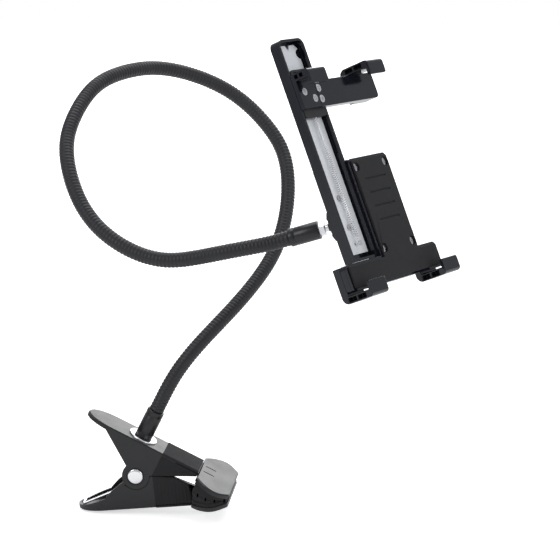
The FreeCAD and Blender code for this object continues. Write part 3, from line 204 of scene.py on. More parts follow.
def drawn_streaks_group():
    """Faint streaks of drawn or plated metal: a mask from 0 to 1."""
    tree, start, end = new_group("drawn_streaks", [("Vector", None), ("Fineness", 700.0)], ["Streak"])
    stretch = tree.nodes.new("ShaderNodeMapping")
    stretch.inputs["Scale"].default_value = (1.0, 1.0, 0.08)
    streak = tree.nodes.new("ShaderNodeTexNoise")
    streak.inputs["Detail"].default_value = 4.0
    link = tree.links.new
    link(start.outputs["Vector"], stretch.inputs["Vector"])
    link(stretch.outputs["Vector"], streak.inputs["Vector"])
    link(start.outputs["Fineness"], streak.inputs["Scale"])
    link(streak.outputs["Fac"], end.inputs["Streak"])
    return tree


GRAIN = mould_grain_group()
DUST = settled_dust_group()
STREAKS = drawn_streaks_group()


# Materials

def material(name):
    mat = bpy.data.materials.new(name)
    mat.use_nodes = True
    tree = mat.node_tree
    coords = tree.nodes.new("ShaderNodeTexCoord")
    return mat, tree, tree.nodes["Principled BSDF"], coords.outputs["Object"]


def add_group(tree, group, vector, values):
    """Place a node group in a material, with its own values."""
    node = tree.nodes.new("ShaderNodeGroup")
    node.node_tree = group
    for label, value in values.items():
        node.inputs[label].default_value = value
    tree.links.new(vector, node.inputs["Vector"])
    return node.outputs


def mix_colours(tree, mask, low, high):
    mix = tree.nodes.new("ShaderNodeMix")
    mix.data_type = "RGBA"
    mix.inputs["A"].default_value = (*low, 1)
    mix.inputs["B"].default_value = (*high, 1)
    tree.links.new(mask, mix.inputs["Factor"])
    return mix.outputs["Result"]


def spread(tree, mask, low, high):
    """A number that runs from low to high with the mask."""
    node = tree.nodes.new("ShaderNodeMapRange")
    node.inputs["To Min"].default_value = low
    node.inputs["To Max"].default_value = high
    tree.links.new(mask, node.inputs["Value"])
    return node.outputs["Result"]


def bumped(tree, shader, height, strength, distance):
    bump = tree.nodes.new("ShaderNodeBump")
    bump.inputs["Strength"].default_value = strength
    bump.inputs["Distance"].default_value = distance
    tree.links.new(height, bump.inputs["Height"])
    tree.links.new(bump.outputs["Normal"], shader.inputs["Normal"])


def moulded_plastic(name, dark, light, rough, grain, depth, coat=0.0, specular=0.5):
    """Black moulding: two close shades, roughness that changes in rubbed patches, and a fine grain."""
    mat, tree, shader, vector = material(name)
    g = add_group(tree, GRAIN, vector, {"Grain": grain, "Patch": 45.0})
    tree.links.new(mix_colours(tree, g["Rubbed"], dark, light), shader.inputs["Base Color"])
    tree.links.new(spread(tree, g["Rubbed"], *rough), shader.inputs["Roughness"])
    bumped(tree, shader, g["Height"], 0.35, depth)
    shader.inputs["Specular IOR Level"].default_value = specular
    if coat:
        shader.inputs["Coat Weight"].default_value = coat
        shader.inputs["Coat Roughness"].default_value = 0.08
    return mat


def low_ribs(tree, vector):
    """Upright waves about 2.4 mm apart, for the rubber of the lower arm."""
    turn = tree.nodes.new("ShaderNodeMapping")
    turn.inputs["Rotation"].default_value = (0, radians(6.0), 0)
    wave = tree.nodes.new("ShaderNodeTexWave")
    wave.inputs["Scale"].default_value = 130.0
    tree.links.new(vector, turn.inputs["Vector"])
    tree.links.new(turn.outputs["Vector"], wave.inputs["Vector"])
    return wave.outputs["Fac"]


def soft_rubber(name, ribbed=False):
    """Matt rubber, dusty in places, with a fine grain or with low ribs."""
    mat, tree, shader, vector = material(name)
    g = add_group(tree, GRAIN, vector, {"Grain": 1500.0, "Patch": 60.0})
    dust = add_group(tree, DUST, vector, {"Speck": 300.0})["Dust"]
    tree.links.new(mix_colours(tree, dust, (0.020, 0.020, 0.021), (0.034, 0.034, 0.034)), shader.inputs["Base Color"])
    tree.links.new(spread(tree, g["Rubbed"], 0.8, 0.94), shader.inputs["Roughness"])
    if ribbed:
        bumped(tree, shader, low_ribs(tree, vector), 0.6, 0.00025)
    else:
        bumped(tree, shader, g["Height"], 0.5, 0.00006)
    shader.inputs["Specular IOR Level"].default_value = 0.22
    shader.inputs["Sheen Weight"].default_value = 0.05
    return mat


def sleeve_vinyl():
    """Ribbed neck cover: satin black, paler where dust sits."""
    mat, tree, shader, vector = material("neck_vinyl")
    g = add_group(tree, GRAIN, vector, {"Grain": 1900.0, "Patch": 70.0})
    dust = add_group(tree, DUST, vector, {"Speck": 520.0})["Dust"]
    tree.links.new(mix_colours(tree, dust, (0.011, 0.011, 0.0135), (0.021, 0.021, 0.0235)), shader.inputs["Base Color"])
    tree.links.new(spread(tree, g["Rubbed"], 0.42, 0.54), shader.inputs["Roughness"])
    bumped(tree, shader, g["Height"], 0.25, 0.00003)
    return mat


def plated_metal(name, shade, rough, fineness, metallic=1.0, dark=0.86):
    """Bright plating with faint drawn streaks."""
    mat, tree, shader, vector = material(name)
    streak = add_group(tree, STREAKS, vector, {"Fineness": fineness})["Streak"]
    low = tuple(c * dark for c in shade)
    tree.links.new(mix_colours(tree, streak, low, shade), shader.inputs["Base Color"])
    tree.links.new(spread(tree, streak, *rough), shader.inputs["Roughness"])
    shader.inputs["Metallic"].default_value = metallic
    bumped(tree, shader, streak, 0.08, 0.00002)
    return mat


def nylon():
    """Undyed nylon of the bush, the liner and the like."""
    mat, tree, shader, vector = material("natural_nylon")
    g = add_group(tree, GRAIN, vector, {"Grain": 900.0, "Patch": 80.0})
    tree.links.new(mix_colours(tree, g["Rubbed"], (0.70, 0.68, 0.62), (0.78, 0.77, 0.72)), shader.inputs["Base Color"])
    tree.links.new(spread(tree, g["Rubbed"], 0.38, 0.5), shader.inputs["Roughness"])
    bumped(tree, shader, g["Height"], 0.2, 0.00004)
    return mat


FINISH = {
    "clamp_plastic": moulded_plastic("clamp_plastic_satin", (0.010, 0.010, 0.0106), (0.014, 0.014, 0.0148),
                                     (0.28, 0.38), 2600.0, 0.00003),
    "gloss_black": moulded_plastic("claw_plastic_gloss", (0.006, 0.007, 0.011), (0.009, 0.010, 0.016),
                                   (0.10, 0.18), 1400.0, 0.000006, coat=0.15, specular=0.4),
    "soft_rubber": soft_rubber("jaw_rubber"),
    "sleeve_vinyl": sleeve_vinyl(),
    "bright_metal": plated_metal("bright_plating", (0.90, 0.90, 0.91), (0.06, 0.16), 700.0),
    "spring_steel": plated_metal("spring_steel_wire", (0.86, 0.86, 0.87), (0.2, 0.32), 1500.0),
    "nylon": nylon(),
}
# pieces whose finish differs from the rest of their slot
OWN_FINISH = {
    "lower_arm_sleeve": soft_rubber("ribbed_rubber", ribbed=True),
    "guide_plate": plated_metal("guide_plating", (0.96, 0.98, 1.0), (0.25, 0.35), 500.0, metallic=0.35, dark=0.93),
    "pivot_cap_front": plated_metal("cap_plating", (0.99, 0.99, 0.99), (0.08, 0.16), 400.0, dark=0.97),
}
OWN_FINISH["pivot_cap_rear"] = OWN_FINISH["pivot_cap_front"]


# Pieces

def dress(obj, slot, node=None):
    obj.data.materials.clear()
    obj.data.materials.append(OWN_FINISH.get(node, FINISH[slot]))
    return obj


def mesh_object(name, bm, slot, sharp=radians(38), node=None):
    """Make an object from a bmesh, smooth across soft edges and crisp at sharp ones."""
    for face in bm.faces:
        face.smooth = True
    for edge in bm.edges:
        edge.smooth = not (len(edge.link_faces) == 2 and edge.calc_face_angle(0) > sharp)
    mesh = bpy.data.meshes.new(name)
    bm.to_mesh(mesh)
    bm.free()
    obj = bpy.data.objects.new(name, mesh)
    bpy.context.scene.collection.objects.link(obj)
    return dress(obj, slot, node)


def take_place(obj, node):
    """Let a new piece ride where its node does and stand in for it."""
    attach(obj, body_of[node])
    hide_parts(node)


def merged_copy(node):
    """The node's surface as one welded bmesh with its flats rejoined."""
    bm = bmesh.new()
    bm.from_mesh(nodes[node].data)
    bmesh.ops.remove_doubles(bm, verts=bm.verts, dist=0.000004)
    bmesh.ops.dissolve_limit(bm, angle_limit=radians(1.0), verts=bm.verts, edges=bm.edges,
                             use_dissolve_boundaries=False)
    bmesh.ops.recalc_face_normals(bm, faces=bm.faces)
    return bm


def carve(bm, outline, lift, operation="DIFFERENCE"):
    """Take a prism, given by its outline and the way it is drawn out, off a mesh or join it on, all in metres."""
    work = bpy.data.objects.new("work", bpy.data.meshes.new("work"))
    tool = bpy.data.objects.new("tool", bpy.data.meshes.new("tool"))
    bm.to_mesh(work.data)
    bm.free()
    cut = bmesh.new()
    face = cut.faces.new([cut.verts.new(p) for p in outline])
    top = bmesh.ops.extrude_face_region(cut, geom=[face])["geom"]
    bmesh.ops.translate(cut, vec=lift, verts=[g for g in top if isinstance(g, bmesh.types.BMVert)])
    bmesh.ops.recalc_face_normals(cut, faces=cut.faces)
    cut.to_mesh(tool.data)
    cut.free()
    for obj in (work, tool):
        bpy.context.scene.collection.objects.link(obj)
    knife = work.modifiers.new("cut", "BOOLEAN")
    knife.operation, knife.object, knife.solver = operation, tool, "EXACT"
    bpy.context.view_layer.update()
    out = bmesh.new()
    out.from_mesh(bpy.data.meshes.new_from_object(work.evaluated_get(bpy.context.evaluated_depsgraph_get())))
    for obj in (work, tool):
        bpy.data.objects.remove(obj)
    return out


# Forms of the mouldings that the solids leave plainer

FAR_WALL_FROM, FAR_WALL_CUT = 9.5, 6.0      # across the clamp
FAR_WALL_DIP = [(-30.0, 12), (-29.4, 1.4), (-12.9, -4.8), (-9.5, -4.8), (-9.5, 12)]      # x and z of the object

TAB_ROOT = -24.1          # start of the thumb tab's half-ellipse, and its reach
TAB_REACH = 19.5
RIM_FROM = -22.5
RIM_T = 1.7
RIM_SUNK = 0.3            # depth of the rim's foot in the plate
RIM_H = 6.2
RIM_SLOPE = [(-22.3, 13.8), (-22.9, 14.7), (-38.0, 19.2), (-46.0, 19.2), (-46.0, 8.0), (-22.3, 8.0)]
WALL_RAISED = [(-23.5, 14.9), (-17.2, 9.0), (-8.0, 2.7), (-8.0, 9.0), (-14.0, 12.5), (-23.5, 18.0)]

SLEEVE_STARTS = 20.05     # vertices of the upper arm's sleeve before this belong to its first edge
SLEEVE_EXTRA = 10.4
SLEEVE_SLOPE = 0.5185     # fall of its walls' lower edge along the lever
SLEEVE_ROOF = 15          # vertices above this belong to its top

PLATE_WIDER = 1.28
PLATE_END = -70           # vertices of the guide plate before this belong to its notched end
PLATE_LONGER = 1.6


def dipped(bm):
    """Lower the far wall before the jaw, so that light shows between the arms."""
    return carve(bm, [Vector((x, FAR_WALL_FROM, z)) * MM for x, z in FAR_WALL_DIP], Vector((0, FAR_WALL_CUT, 0)) * MM)


def tab_outline(inset):
    """Outline of the lower thumb tab, from wall to wall round its end."""
    half, reach = LEVER_HALF_W - inset, TAB_REACH - inset
    bend = [(TAB_ROOT - reach * sin(a), half * cos(a)) for a in (pi * k / 24 for k in range(25))]
    return [(RIM_FROM, half)] + bend + [(RIM_FROM, -half)]


def rimmed(bm):
    """Carry the lower lever's walls round its thumb tab as a rim that falls towards the tip."""
    out = LOWER.to_3x3() * MM
    ring = tab_outline(0.0) + tab_outline(RIM_T)[::-1]
    bm = carve(bm, [spot(LOWER, x, y, PLATE_IN + RIM_SUNK) for x, y in ring], out @ Vector((0, 0, -RIM_H)), "UNION")
    for y in (-LEVER_HALF_W, LEVER_HALF_W - LEVER_WALL):
        bm = carve(bm, [spot(LOWER, x, y, z) for x, z in WALL_RAISED], out @ Vector((0, LEVER_WALL, 0)), "UNION")
    slope = [spot(LOWER, x, -LEVER_HALF_W - 1, z) for x, z in RIM_SLOPE]
    return carve(bm, slope, out @ Vector((0, 2 * LEVER_HALF_W + 2, 0)))


def longer_sleeve(bm):
    """Draw the upper arm's sleeve out towards the pivot, along the line of its walls' lower edge."""
    back = UPPER.inverted()
    for v in bm.verts:
        place = back @ (v.co / MM)
        if place.x < SLEEVE_STARTS:
            drop = SLEEVE_SLOPE * SLEEVE_EXTRA if place.z < SLEEVE_ROOF else 0
            v.co = (UPPER @ (place + Vector((-SLEEVE_EXTRA, 0, -drop)))) * MM
    return bm


def wider_plate(bm):
    """Widen the guide plate in its track and bring its notched end nearer to the track's."""
    back = HOLDER.inverted()
    for v in bm.verts:
        place = back @ (v.co / MM)
        place.x = TRACK_X + PLATE_WIDER * (place.x - TRACK_X)
        if place.y < PLATE_END:
            place.y -= PLATE_LONGER
        v.co = (HOLDER @ place) * MM
    return bm


RESHAPED = {
    "lower_lever": [dipped, rimmed],
    "lower_arm_sleeve": [dipped],
    "upper_arm_sleeve": [longer_sleeve],
    "guide_plate": [wider_plate],
}


def softened(node, width):
    """Replace a node with its own shape, its hard corners rounded by a small radius."""
    bm = merged_copy(node)
    for reshape in RESHAPED.get(node, []):
        bm = reshape(bm)
    edges = [e for e in bm.edges if len(e.link_faces) == 2 and e.calc_face_angle(0) > radians(32)]
    bmesh.ops.bevel(bm, geom=edges, offset=width * MM, offset_type="OFFSET", segments=3, profile=0.5,
                    affect="EDGES", clamp_overlap=True, material=-1)
    bmesh.ops.remove_doubles(bm, verts=bm.verts, dist=0.000002)
    bmesh.ops.triangulate(bm, faces=[f for f in bm.faces if len(f.verts) > 4])
    obj = mesh_object(node + "_finished", bm, slot_of[node], node=node)
    flat = obj.modifiers.new("even_flats", "WEIGHTED_NORMAL")
    flat.keep_sharp = True
    flat.weight = 100
    take_place(obj, node)


SOFT_EDGE = {
    "upper_lever": 0.5, "lower_lever": 0.5, "upper_jaw_pad": 0.35, "lower_jaw_pad": 0.35,
    "upper_arm_sleeve": 0.4, "lower_arm_sleeve": 0.4, "spring_post": 0.15,
    "rear_housing": 0.5, "front_cover": 0.4, "grip_pad": 0.3, "slide_track": 0.5, "guide_plate": 0.15,
    "slide_carriage": 0.25, "upper_bar": 0.4, "socket_ring_nut": 0.25, "stud_lock_nut": 0.3,
    "upper_left_claw": 0.8, "upper_right_claw": 0.8, "lower_left_claw": 0.8, "lower_right_claw": 0.8,
    "upper_claw_pads": 0.2, "lower_claw_pads": 0.2,
}
for node, width in SOFT_EDGE.items():
    softened(node, width)

for node in nodes:
    if node not in SOFT_EDGE:
        dress(nodes[node], slot_of[node])


# Turned pieces, round where the solids have flats

def turned(profile, centre, direction, sides=56):
    """Spin a profile of (radius, height) about an axis; a profile that returns to its start makes a ring."""
    bm = bmesh.new()
    points = [bm.verts.new((r, 0, z)) for r, z in profile]
    edges = [bm.edges.new((a, b)) for a, b in zip(points, points[1:])]
    bmesh.ops.spin(bm, geom=points + edges, cent=(0, 0, 0), axis=(0, 0, 1), dvec=(0, 0, 0), angle=2 * pi,
                   steps=sides, use_merge=True)
    bmesh.ops.remove_doubles(bm, verts=bm.verts, dist=0.0005)
    bmesh.ops.dissolve_degenerate(bm, edges=bm.edges, dist=0.0005)
    bmesh.ops.recalc_face_normals(bm, faces=bm.faces)
    turn = Vector(direction).to_track_quat("Z", "X").to_matrix().to_4x4()
    bm.transform(Matrix.Scale(MM, 4) @ Matrix.Translation(centre) @ turn)
    return bm


def turned_piece(node, profile, centre, direction):
    take_place(mesh_object(node + "_turned", turned(profile, centre, direction), slot_of[node], node=node), node)


def arc(radius, start, end, steps):
    """Points of an arc about the centre, by the angle from the axis in degrees."""
    angles = [radians(start + (end - start) * i / steps) for i in range(steps + 1)]
    return [(radius * sin(a), radius * cos(a)) for a in angles]


def caps():
    profile = [(0, 0), (5.1, 0), (5.1, 0.55), (5.0, 0.8), (4.7, 1.0), (4.2, 1.14), (3.2, 1.27), (1.8, 1.36), (0, 1.4)]
    for node, side in (("pivot_cap_front", -1), ("pivot_cap_rear", 1)):
        turned_piece(node, profile, PIVOT + Vector((0, side * LEVER_HALF_W, 0)), (0, side, 0))


def neck_fittings():
    """Washer, collars and screw that fix the neck's ends, and the bush in the torsion spring."""
    foot = PIVOT + LEVER_ALONG * NECK_AT + LEVER_UP * PLATE_OUT
    turned_piece("neck_washer", [(2.6, 0), (9.9, 0), (10.0, 0.1), (10.0, 0.6), (9.85, 0.82), (9.5, 0.96), (9.1, 1.0),
                                 (2.8, 1.0), (2.6, 0.85), (2.6, 0)], foot, LEVER_UP)
    collar = [(2.56, 0), (5.5, 0), (5.78, 0.12), (5.9, 0.4), (5.9, 15.6), (5.84, 15.75), (5.7, 15.9), (5.7, 16.3),
              (5.84, 16.45), (5.9, 16.6), (5.9, 19.3), (5.8, 19.75), (5.4, COLLAR_L), (4.95, COLLAR_L), (4.6, 19.8),
              (3.62, 19.6), (3.62, 7.8), (2.56, 7.8), (2.56, 0)]
    turned_piece("base_collar", collar, foot + LEVER_UP * WASHER_T, LEVER_UP)
    turned_piece("end_collar", collar, BALL_AT - NECK_OUT * STUD_REACH, -NECK_OUT)
    screw = [(0, -1.4), (1.3, -1.4), (1.3, -2.9), (1.5, -3.0), (3.4, -3.0), (4.0, -2.75), (4.3, -2.2), (4.35, 0),
             (2.3, 0), (2.3, 9.4), (2.0, 9.8), (0, 9.8)]
    turned_piece("neck_screw", screw, foot - LEVER_UP * (PLATE_OUT - PLATE_IN), LEVER_UP)
    bush = [(2.56, -7.3), (3.7, -7.3), (3.9, -7.1), (3.9, 7.1), (3.7, 7.3), (2.56, 7.3), (2.56, -7.3)]
    turned_piece("spring_bush", bush, PIVOT, (0, 1, 0))


def ball_joint():
    """Bored ball on the stud, and the cupped liner that it turns in."""
    ball = [(0, 5.3), (2.55, 5.3), (2.55, -8.1)] + arc(BALL_R, 162.5, 0, 40)
    turned_piece("ball", ball, BALL_AT, NECK_OUT)
    bowl = arc(BALL_R + 0.1, 159.6, 54.45, 24)
    cup = [(3.0, -9.5), (9.75, -9.5), (9.95, -9.3), (9.95, 1.5), (8.1, 4.8), (7.8, 5.0)] + bowl[::-1] + [(3.0, -9.5)]
    turned_piece("socket_liner", cup, BALL_AT, HOLDER_BACK)


# Screws with cross recesses

PAN_RECESS = (0.75, 2.5)      # floor and top of the cutter, from the seat of the head
FLAT_RECESS = (-1.0, 0.7)


def cross_outline(low, reach, width):
    """Outline of a cross recess about the axis."""
    outline = []
    for i in range(4):
        a = i * pi / 2
        for x, y in ((reach, -width / 2), (reach, width / 2), (width / 2, width / 2)):
            outline.append(Vector((x * cos(a) - y * sin(a), x * sin(a) + y * cos(a), low)) * MM)
    return outline


def add_screws(bm, places, profile, recess):
    """Set a round screw with a cross recess at each place of the holder."""
    low, high = recess
    one = carve(turned(profile, Vector((0, 0, 0)), (0, 0, 1), 32), cross_outline(low, 1.5, 0.5),
                Vector((0, 0, high - low)) * MM)
    mesh = bpy.data.meshes.new("one_screw")
    one.to_mesh(mesh)
    one.free()
    for number, (x, y, z) in enumerate(places):
        held = set(bm.verts)
        bm.from_mesh(mesh)
        fresh = [v for v in bm.verts if v not in held]
        spin = Matrix.Rotation(radians(37 * number + 11), 4, "Z")
        place = Matrix.Scale(MM, 4) @ HOLDER @ Matrix.Translation((x, y, z)) @ Matrix.Scale(1 / MM, 4) @ spin
        for v in fresh:
            v.co = place @ v.co


def pan_profile(length):
    return [(0, -length), (0.8, -length), (1.15, -length + 0.5), (1.15, 0), (2.45, 0), (2.45, 0.7), (2.3, 1.15),
            (1.8, 1.5), (1.1, 1.66), (0, 1.7)]


def flat_profile(length):
    return [(0, 0), (2.38, 0), (2.45, 0.08), (2.4, 0.2), (1.15, 1.4), (1.15, length - 0.5), (0.8, length), (0, length)]


def screws():
    leg_screw_y = HALF_GRIP + FIT - CLAW_LEG + 8.5
    pair = (-4.5, 4.5)
    low_claws = [(x + dx, leg_screw_y, CLAW_BACK) for x in LOWER_CLAWS_X for dx in pair]
    high_claw = [(UPPER_RIGHT_X + dx, -leg_screw_y, CLAW_BACK) for dx in pair]
    tongue = UPPER_LEFT_X + CLAW_W / 2 + FIT + 3.0
    clamped = [(-35.35, -60.35, 7.7), (-26.35, -55.35, 7.7), (tongue, -61.35, 7.7), (tongue, -54.35, 7.7)]
    cover = [(x, y, 8.8) for y in (-8.0, 45.35) for x in (-8.5, 25.0)]
    track = [(TRACK_X, 8.0, 14.7), (TRACK_X, 27.0, 14.7)]
    sets = {
        "lower_claw_screws": [(low_claws, pan_profile(8.5), PAN_RECESS)],
        "upper_grip_screws": [(high_claw, pan_profile(8.5), PAN_RECESS), (clamped, flat_profile(5.8), FLAT_RECESS)],
        "cover_screws": [(cover, flat_profile(6.3), FLAT_RECESS)],
        "track_screws": [(track, flat_profile(5.5), FLAT_RECESS)],
    }
    for node, groups in sets.items():
        bm = bmesh.new()
        for places, profile, recess in groups:
            add_screws(bm, places, profile, recess)
        take_place(mesh_object(node + "_driven", bm, slot_of[node], sharp=radians(30)), node)


caps()
neck_fittings()
ball_joint()
screws()


# Gooseneck: the same route as the solids, with the sleeve's real rib pitch

NECK_ROUTE = [
    (-28.5, 3.2, 73.5), (-12, 16, 95), (5, 33, 112), (20, 53, 128), (32, 73, 146), (38, 90, 166), (39, 104, 188),
    (33, 117, 212), (20, 123, 230), (-1, 123, 249), (-24, 115, 262), (-48, 100, 270), (-69, 75, 271),
    (-85, 50, 265), (-94, 28, 252), (-98, 9, 235), (-94, -8, 217), (-84, -22, 198), (-69, -34, 183),
    (-48, -41, 171), (-25, -45, 166), (-2, -47, 169), (21, -47, 174),
]
STRAIGHT_END = 9.0        # straight stretch beside each collar
COARSE_RIBS = 80          # ribs of the solids' sleeve, whose pitch places the stretches
NECK_R = 5.0
CORE_R = 3.4
# a rib from valley to valley, as shares of its pitch and radii
RIB = [(0.0, 4.70), (0.14, 4.80), (0.30, 4.95), (0.5, NECK_R), (0.70, 4.95), (0.86, 4.80), (0.93, 4.70), (1.0, 4.70)]
# name, length in coarse ribs, real ribs, and the body that it follows or the two bodies that it lies between
STRETCHES = [
    ("neck_root", 3, 10, ["clamp_upper"]),
    ("base_bend", 5, 17, ["clamp_upper", "neck_low"]),
    ("neck_lower", 5, 17, ["neck_low"]),
    ("sway_bend", 5, 17, ["neck_low", "neck_back"]),
    ("neck_rise", 23, 78, ["neck_back"]),
    ("loop_bend", 5, 17, ["neck_back", "neck_front"]),
    ("neck_loop", 28, 95, ["neck_front"]),
    ("head_bend", 5, 17, ["neck_front", "neck_end"]),
    ("neck_tip", 1, 3, ["neck_end"]),
]


def unit(v):
    return v / np.linalg.norm(v)


def smooth_route():
    """Fine points of the cubic line through the route, with the collars' directions at its ends."""
    start = np.array(PIVOT + LEVER_ALONG * NECK_AT + LEVER_UP * (PLATE_OUT + WASHER_T + COLLAR_L))
    end = np.array(BALL_AT - NECK_OUT * (STUD_REACH + COLLAR_L))
    start_dir, end_dir = np.array(LEVER_UP), np.array(NECK_OUT)
    points = np.array([start, start + start_dir * STRAIGHT_END] + [np.array(p) for p in NECK_ROUTE]
                      + [end - end_dir * STRAIGHT_END, end], float)
    t = np.concatenate([[0], np.cumsum(np.linalg.norm(np.diff(points, axis=0), axis=1))])
    h = np.diff(t)
    n = len(points)
    system = np.zeros((n, n))
    right = np.zeros((n, 3))
    system[0, 0] = system[-1, -1] = 1
    right[0], right[-1] = start_dir, end_dir
    for i in range(1, n - 1):
        system[i, i - 1 : i + 2] = h[i], 2 * (h[i - 1] + h[i]), h[i - 1]
        right[i] = 3 * (h[i] * (points[i] - points[i - 1]) / h[i - 1] + h[i - 1] * (points[i + 1] - points[i]) / h[i])
    slope = np.linalg.solve(system, right)
    line = []
    for i in range(n - 1):
        for u in np.linspace(0, 1, 60, endpoint=False):
            a, b = points[i], points[i + 1]
            line.append((2 * u**3 - 3 * u**2 + 1) * a + (u**3 - 2 * u**2 + u) * h[i] * slope[i]
                        + (-2 * u**3 + 3 * u**2) * b + (u**3 - u**2) * h[i] * slope[i + 1])
    line.append(points[-1])
    return np.array(line)


LINE = smooth_route()
REACH = np.concatenate([[0], np.cumsum(np.linalg.norm(np.diff(LINE, axis=0), axis=1))])
PITCH = REACH[-1] / COARSE_RIBS


def on_line(s):
    return np.array([np.interp(s, REACH, LINE[:, k]) for k in range(3)])


def on_route(s):
    """Centre and cross axes of the neck at a length along it, in millimetres."""
    along = unit(on_line(s + 0.8) - on_line(s - 0.8))
    side = unit(np.array([0, 1, 0]) - along * along[1])
    return on_line(s), side, np.cross(along, side)


def bent_on_route(bm, start):
    """Carry a straight tube, built along Z from 0, onto the neck's route."""
    places = {}
    for v in bm.verts:
        height = round(v.co.z, 5)
        if height not in places:
            places[height] = on_route(start + height)
        centre, side, up = places[height]
        v.co = Vector((centre + side * v.co.x + up * v.co.y) * MM)


def draw_up(bm, loop, growth, step):
    """Extrude an open ring of edges along Z, made wider or narrower on the way, and return its new ring."""
    out = bmesh.ops.extrude_edge_only(bm, edges=loop)["geom"]
    verts = [g for g in out if isinstance(g, bmesh.types.BMVert)]
    bmesh.ops.scale(bm, vec=(growth, growth, 1), verts=verts)
    bmesh.ops.translate(bm, vec=(0, 0, step), verts=verts)
    return [g for g in out if isinstance(g, bmesh.types.BMEdge) and all(v in verts for v in g.verts)]


def ribbed_tube(length, ribs, sides=28):
    """A straight sleeve along Z: one rib drawn up ring by ring, then repeated."""
    pitch = length / ribs
    height, radius = 0.0, RIB[0][1]
    bm = bmesh.new()
    ring = bmesh.ops.create_circle(bm, cap_ends=False, radius=radius, segments=sides)["verts"]
    loop = list({e for v in ring for e in v.link_edges})
    for rib in range(ribs):
        for share, wide in RIB[1:]:
            z = (rib + share) * pitch
            loop = draw_up(bm, loop, wide / radius, z - height)
            height, radius = z, wide
    return bm


def core_tube(length, steps):
    """A straight core along Z, closed at its ends."""
    bm = bmesh.new()
    bmesh.ops.create_circle(bm, cap_ends=False, radius=CORE_R, segments=16)
    loop = list(bm.edges)
    for _ in range(steps):
        loop = draw_up(bm, loop, 1, length / steps)
    bmesh.ops.holes_fill(bm, edges=[e for e in bm.edges if e.is_boundary])
    return bm


def neck_piece(name, bm, slot, sharp, first, bodies):
    """Lay a straight piece on the route; it rides on one body, or, between two bodies, stays where it is laid."""
    bent_on_route(bm, first * PITCH)
    bmesh.ops.recalc_face_normals(bm, faces=bm.faces)
    obj = mesh_object(name, bm, slot, sharp=sharp)
    if len(bodies) == 1:
        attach(obj, bodies[0])
    else:
        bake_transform(obj)
    return obj


def gooseneck():
    """Cover every stretch with its ribbed sleeve, and lay the wound core in those that bend."""
    first = 0
    for name, count, ribs, bodies in STRETCHES:
        length = count * PITCH
        cover = ribbed_tube(length, ribs)
        obj = neck_piece(name + "_cover", cover, "sleeve_vinyl", radians(75), first, bodies)
        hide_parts(name + "_sleeve")
        if len(bodies) == 2:
            core = core_tube(length, count * 3)
            obj = neck_piece(name + "_wound_core", core, "spring_steel", radians(38), first, bodies)
            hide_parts(name + "_core")
        first += count


gooseneck()


# Springs: the torsion spring's legs ride on their levers, and the coils stay where they are made

TORSION_R = 5.6           # to the middle of the wire
TORSION_WIRE_R = 0.9
TORSION_TURNS = 3
TORSION_PITCH = 3.2
LEG_TILT = 18.3           # degrees, leg to the lever's plate
LEG_L = 41.18
HOOK_STEP = 2.4           # side of the leg's bend
HOOK_L = 10.9             # reach of its end across the tab

RETURN_FROM, RETURN_TO = -47.2, 35.8      # carriage's lug and post, along the track
RETURN_DEPTH = 12.7
RETURN_R = 1.3
RETURN_WIRE_R = 0.24
RETURN_TURNS = 60
RETURN_LEAD = 2.0         # straight wire at each end


def wire_mesh(points, radius, resolution=3, steps=4):
    """A round wire along a smooth line through a chain of control points, in metres."""
    curve = bpy.data.curves.new("wire", "CURVE")
    curve.dimensions = "3D"
    curve.bevel_depth = radius * MM
    curve.bevel_resolution = resolution
    spline = curve.splines.new("NURBS")
    spline.points.add(len(points) - 1)
    for point, co in zip(spline.points, points):
        point.co = (*co, 1)
    spline.order_u = 3
    spline.use_endpoint_u = True
    spline.resolution_u = steps
    line = bpy.data.objects.new("wire_line", curve)
    bpy.context.scene.collection.objects.link(line)
    bpy.context.view_layer.update()
    mesh = bpy.data.meshes.new_from_object(line.evaluated_get(bpy.context.evaluated_depsgraph_get()))
    bpy.data.objects.remove(line)
    bm = bmesh.new()
    bm.from_mesh(mesh)
    bmesh.ops.remove_doubles(bm, verts=bm.verts, dist=0.000001)
    bmesh.ops.holes_fill(bm, edges=[e for e in bm.edges if e.is_boundary])
    rims = [e for e in bm.edges if len(e.link_faces) == 2 and e.calc_face_angle(0) > radians(70)]
    bmesh.ops.bevel(bm, geom=rims, offset=radius * 0.3 * MM, offset_type="OFFSET", segments=2, profile=0.5,
                    affect="EDGES", clamp_overlap=True, material=-1)
    bmesh.ops.recalc_face_normals(bm, faces=bm.faces)
    return bm


def around_pivot(radius, angle, y):
    """A point beside the pivot, by its angle from +X towards +Z in degrees."""
    return PIVOT + Vector((radius * cos(radians(angle)), y, radius * sin(radians(angle))))


def torsion_leg(name, wire_from, y, heading, side, body):
    """One leg, from the coil along its lever to the hook across the thumb tab."""
    out = Vector((cos(radians(heading)), 0, sin(radians(heading))))
    across = Vector((0, side, 0))
    foot = around_pivot(TORSION_R, wire_from, y)
    knee = foot + out * LEG_L
    corner = knee + out * HOOK_STEP
    line = [foot, foot + out * 1.5, foot + out * 20.0, knee - out * 1.0, knee, corner, corner + across * HOOK_STEP,
            corner + across * (HOOK_STEP + 1.0), corner + across * HOOK_L]
    wire = wire_mesh([p * MM for p in line], TORSION_WIRE_R, steps=8)
    obj = mesh_object("torsion_spring_" + name + "_leg", wire, "spring_steel", sharp=radians(60))
    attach(obj, body)
    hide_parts("torsion_spring")


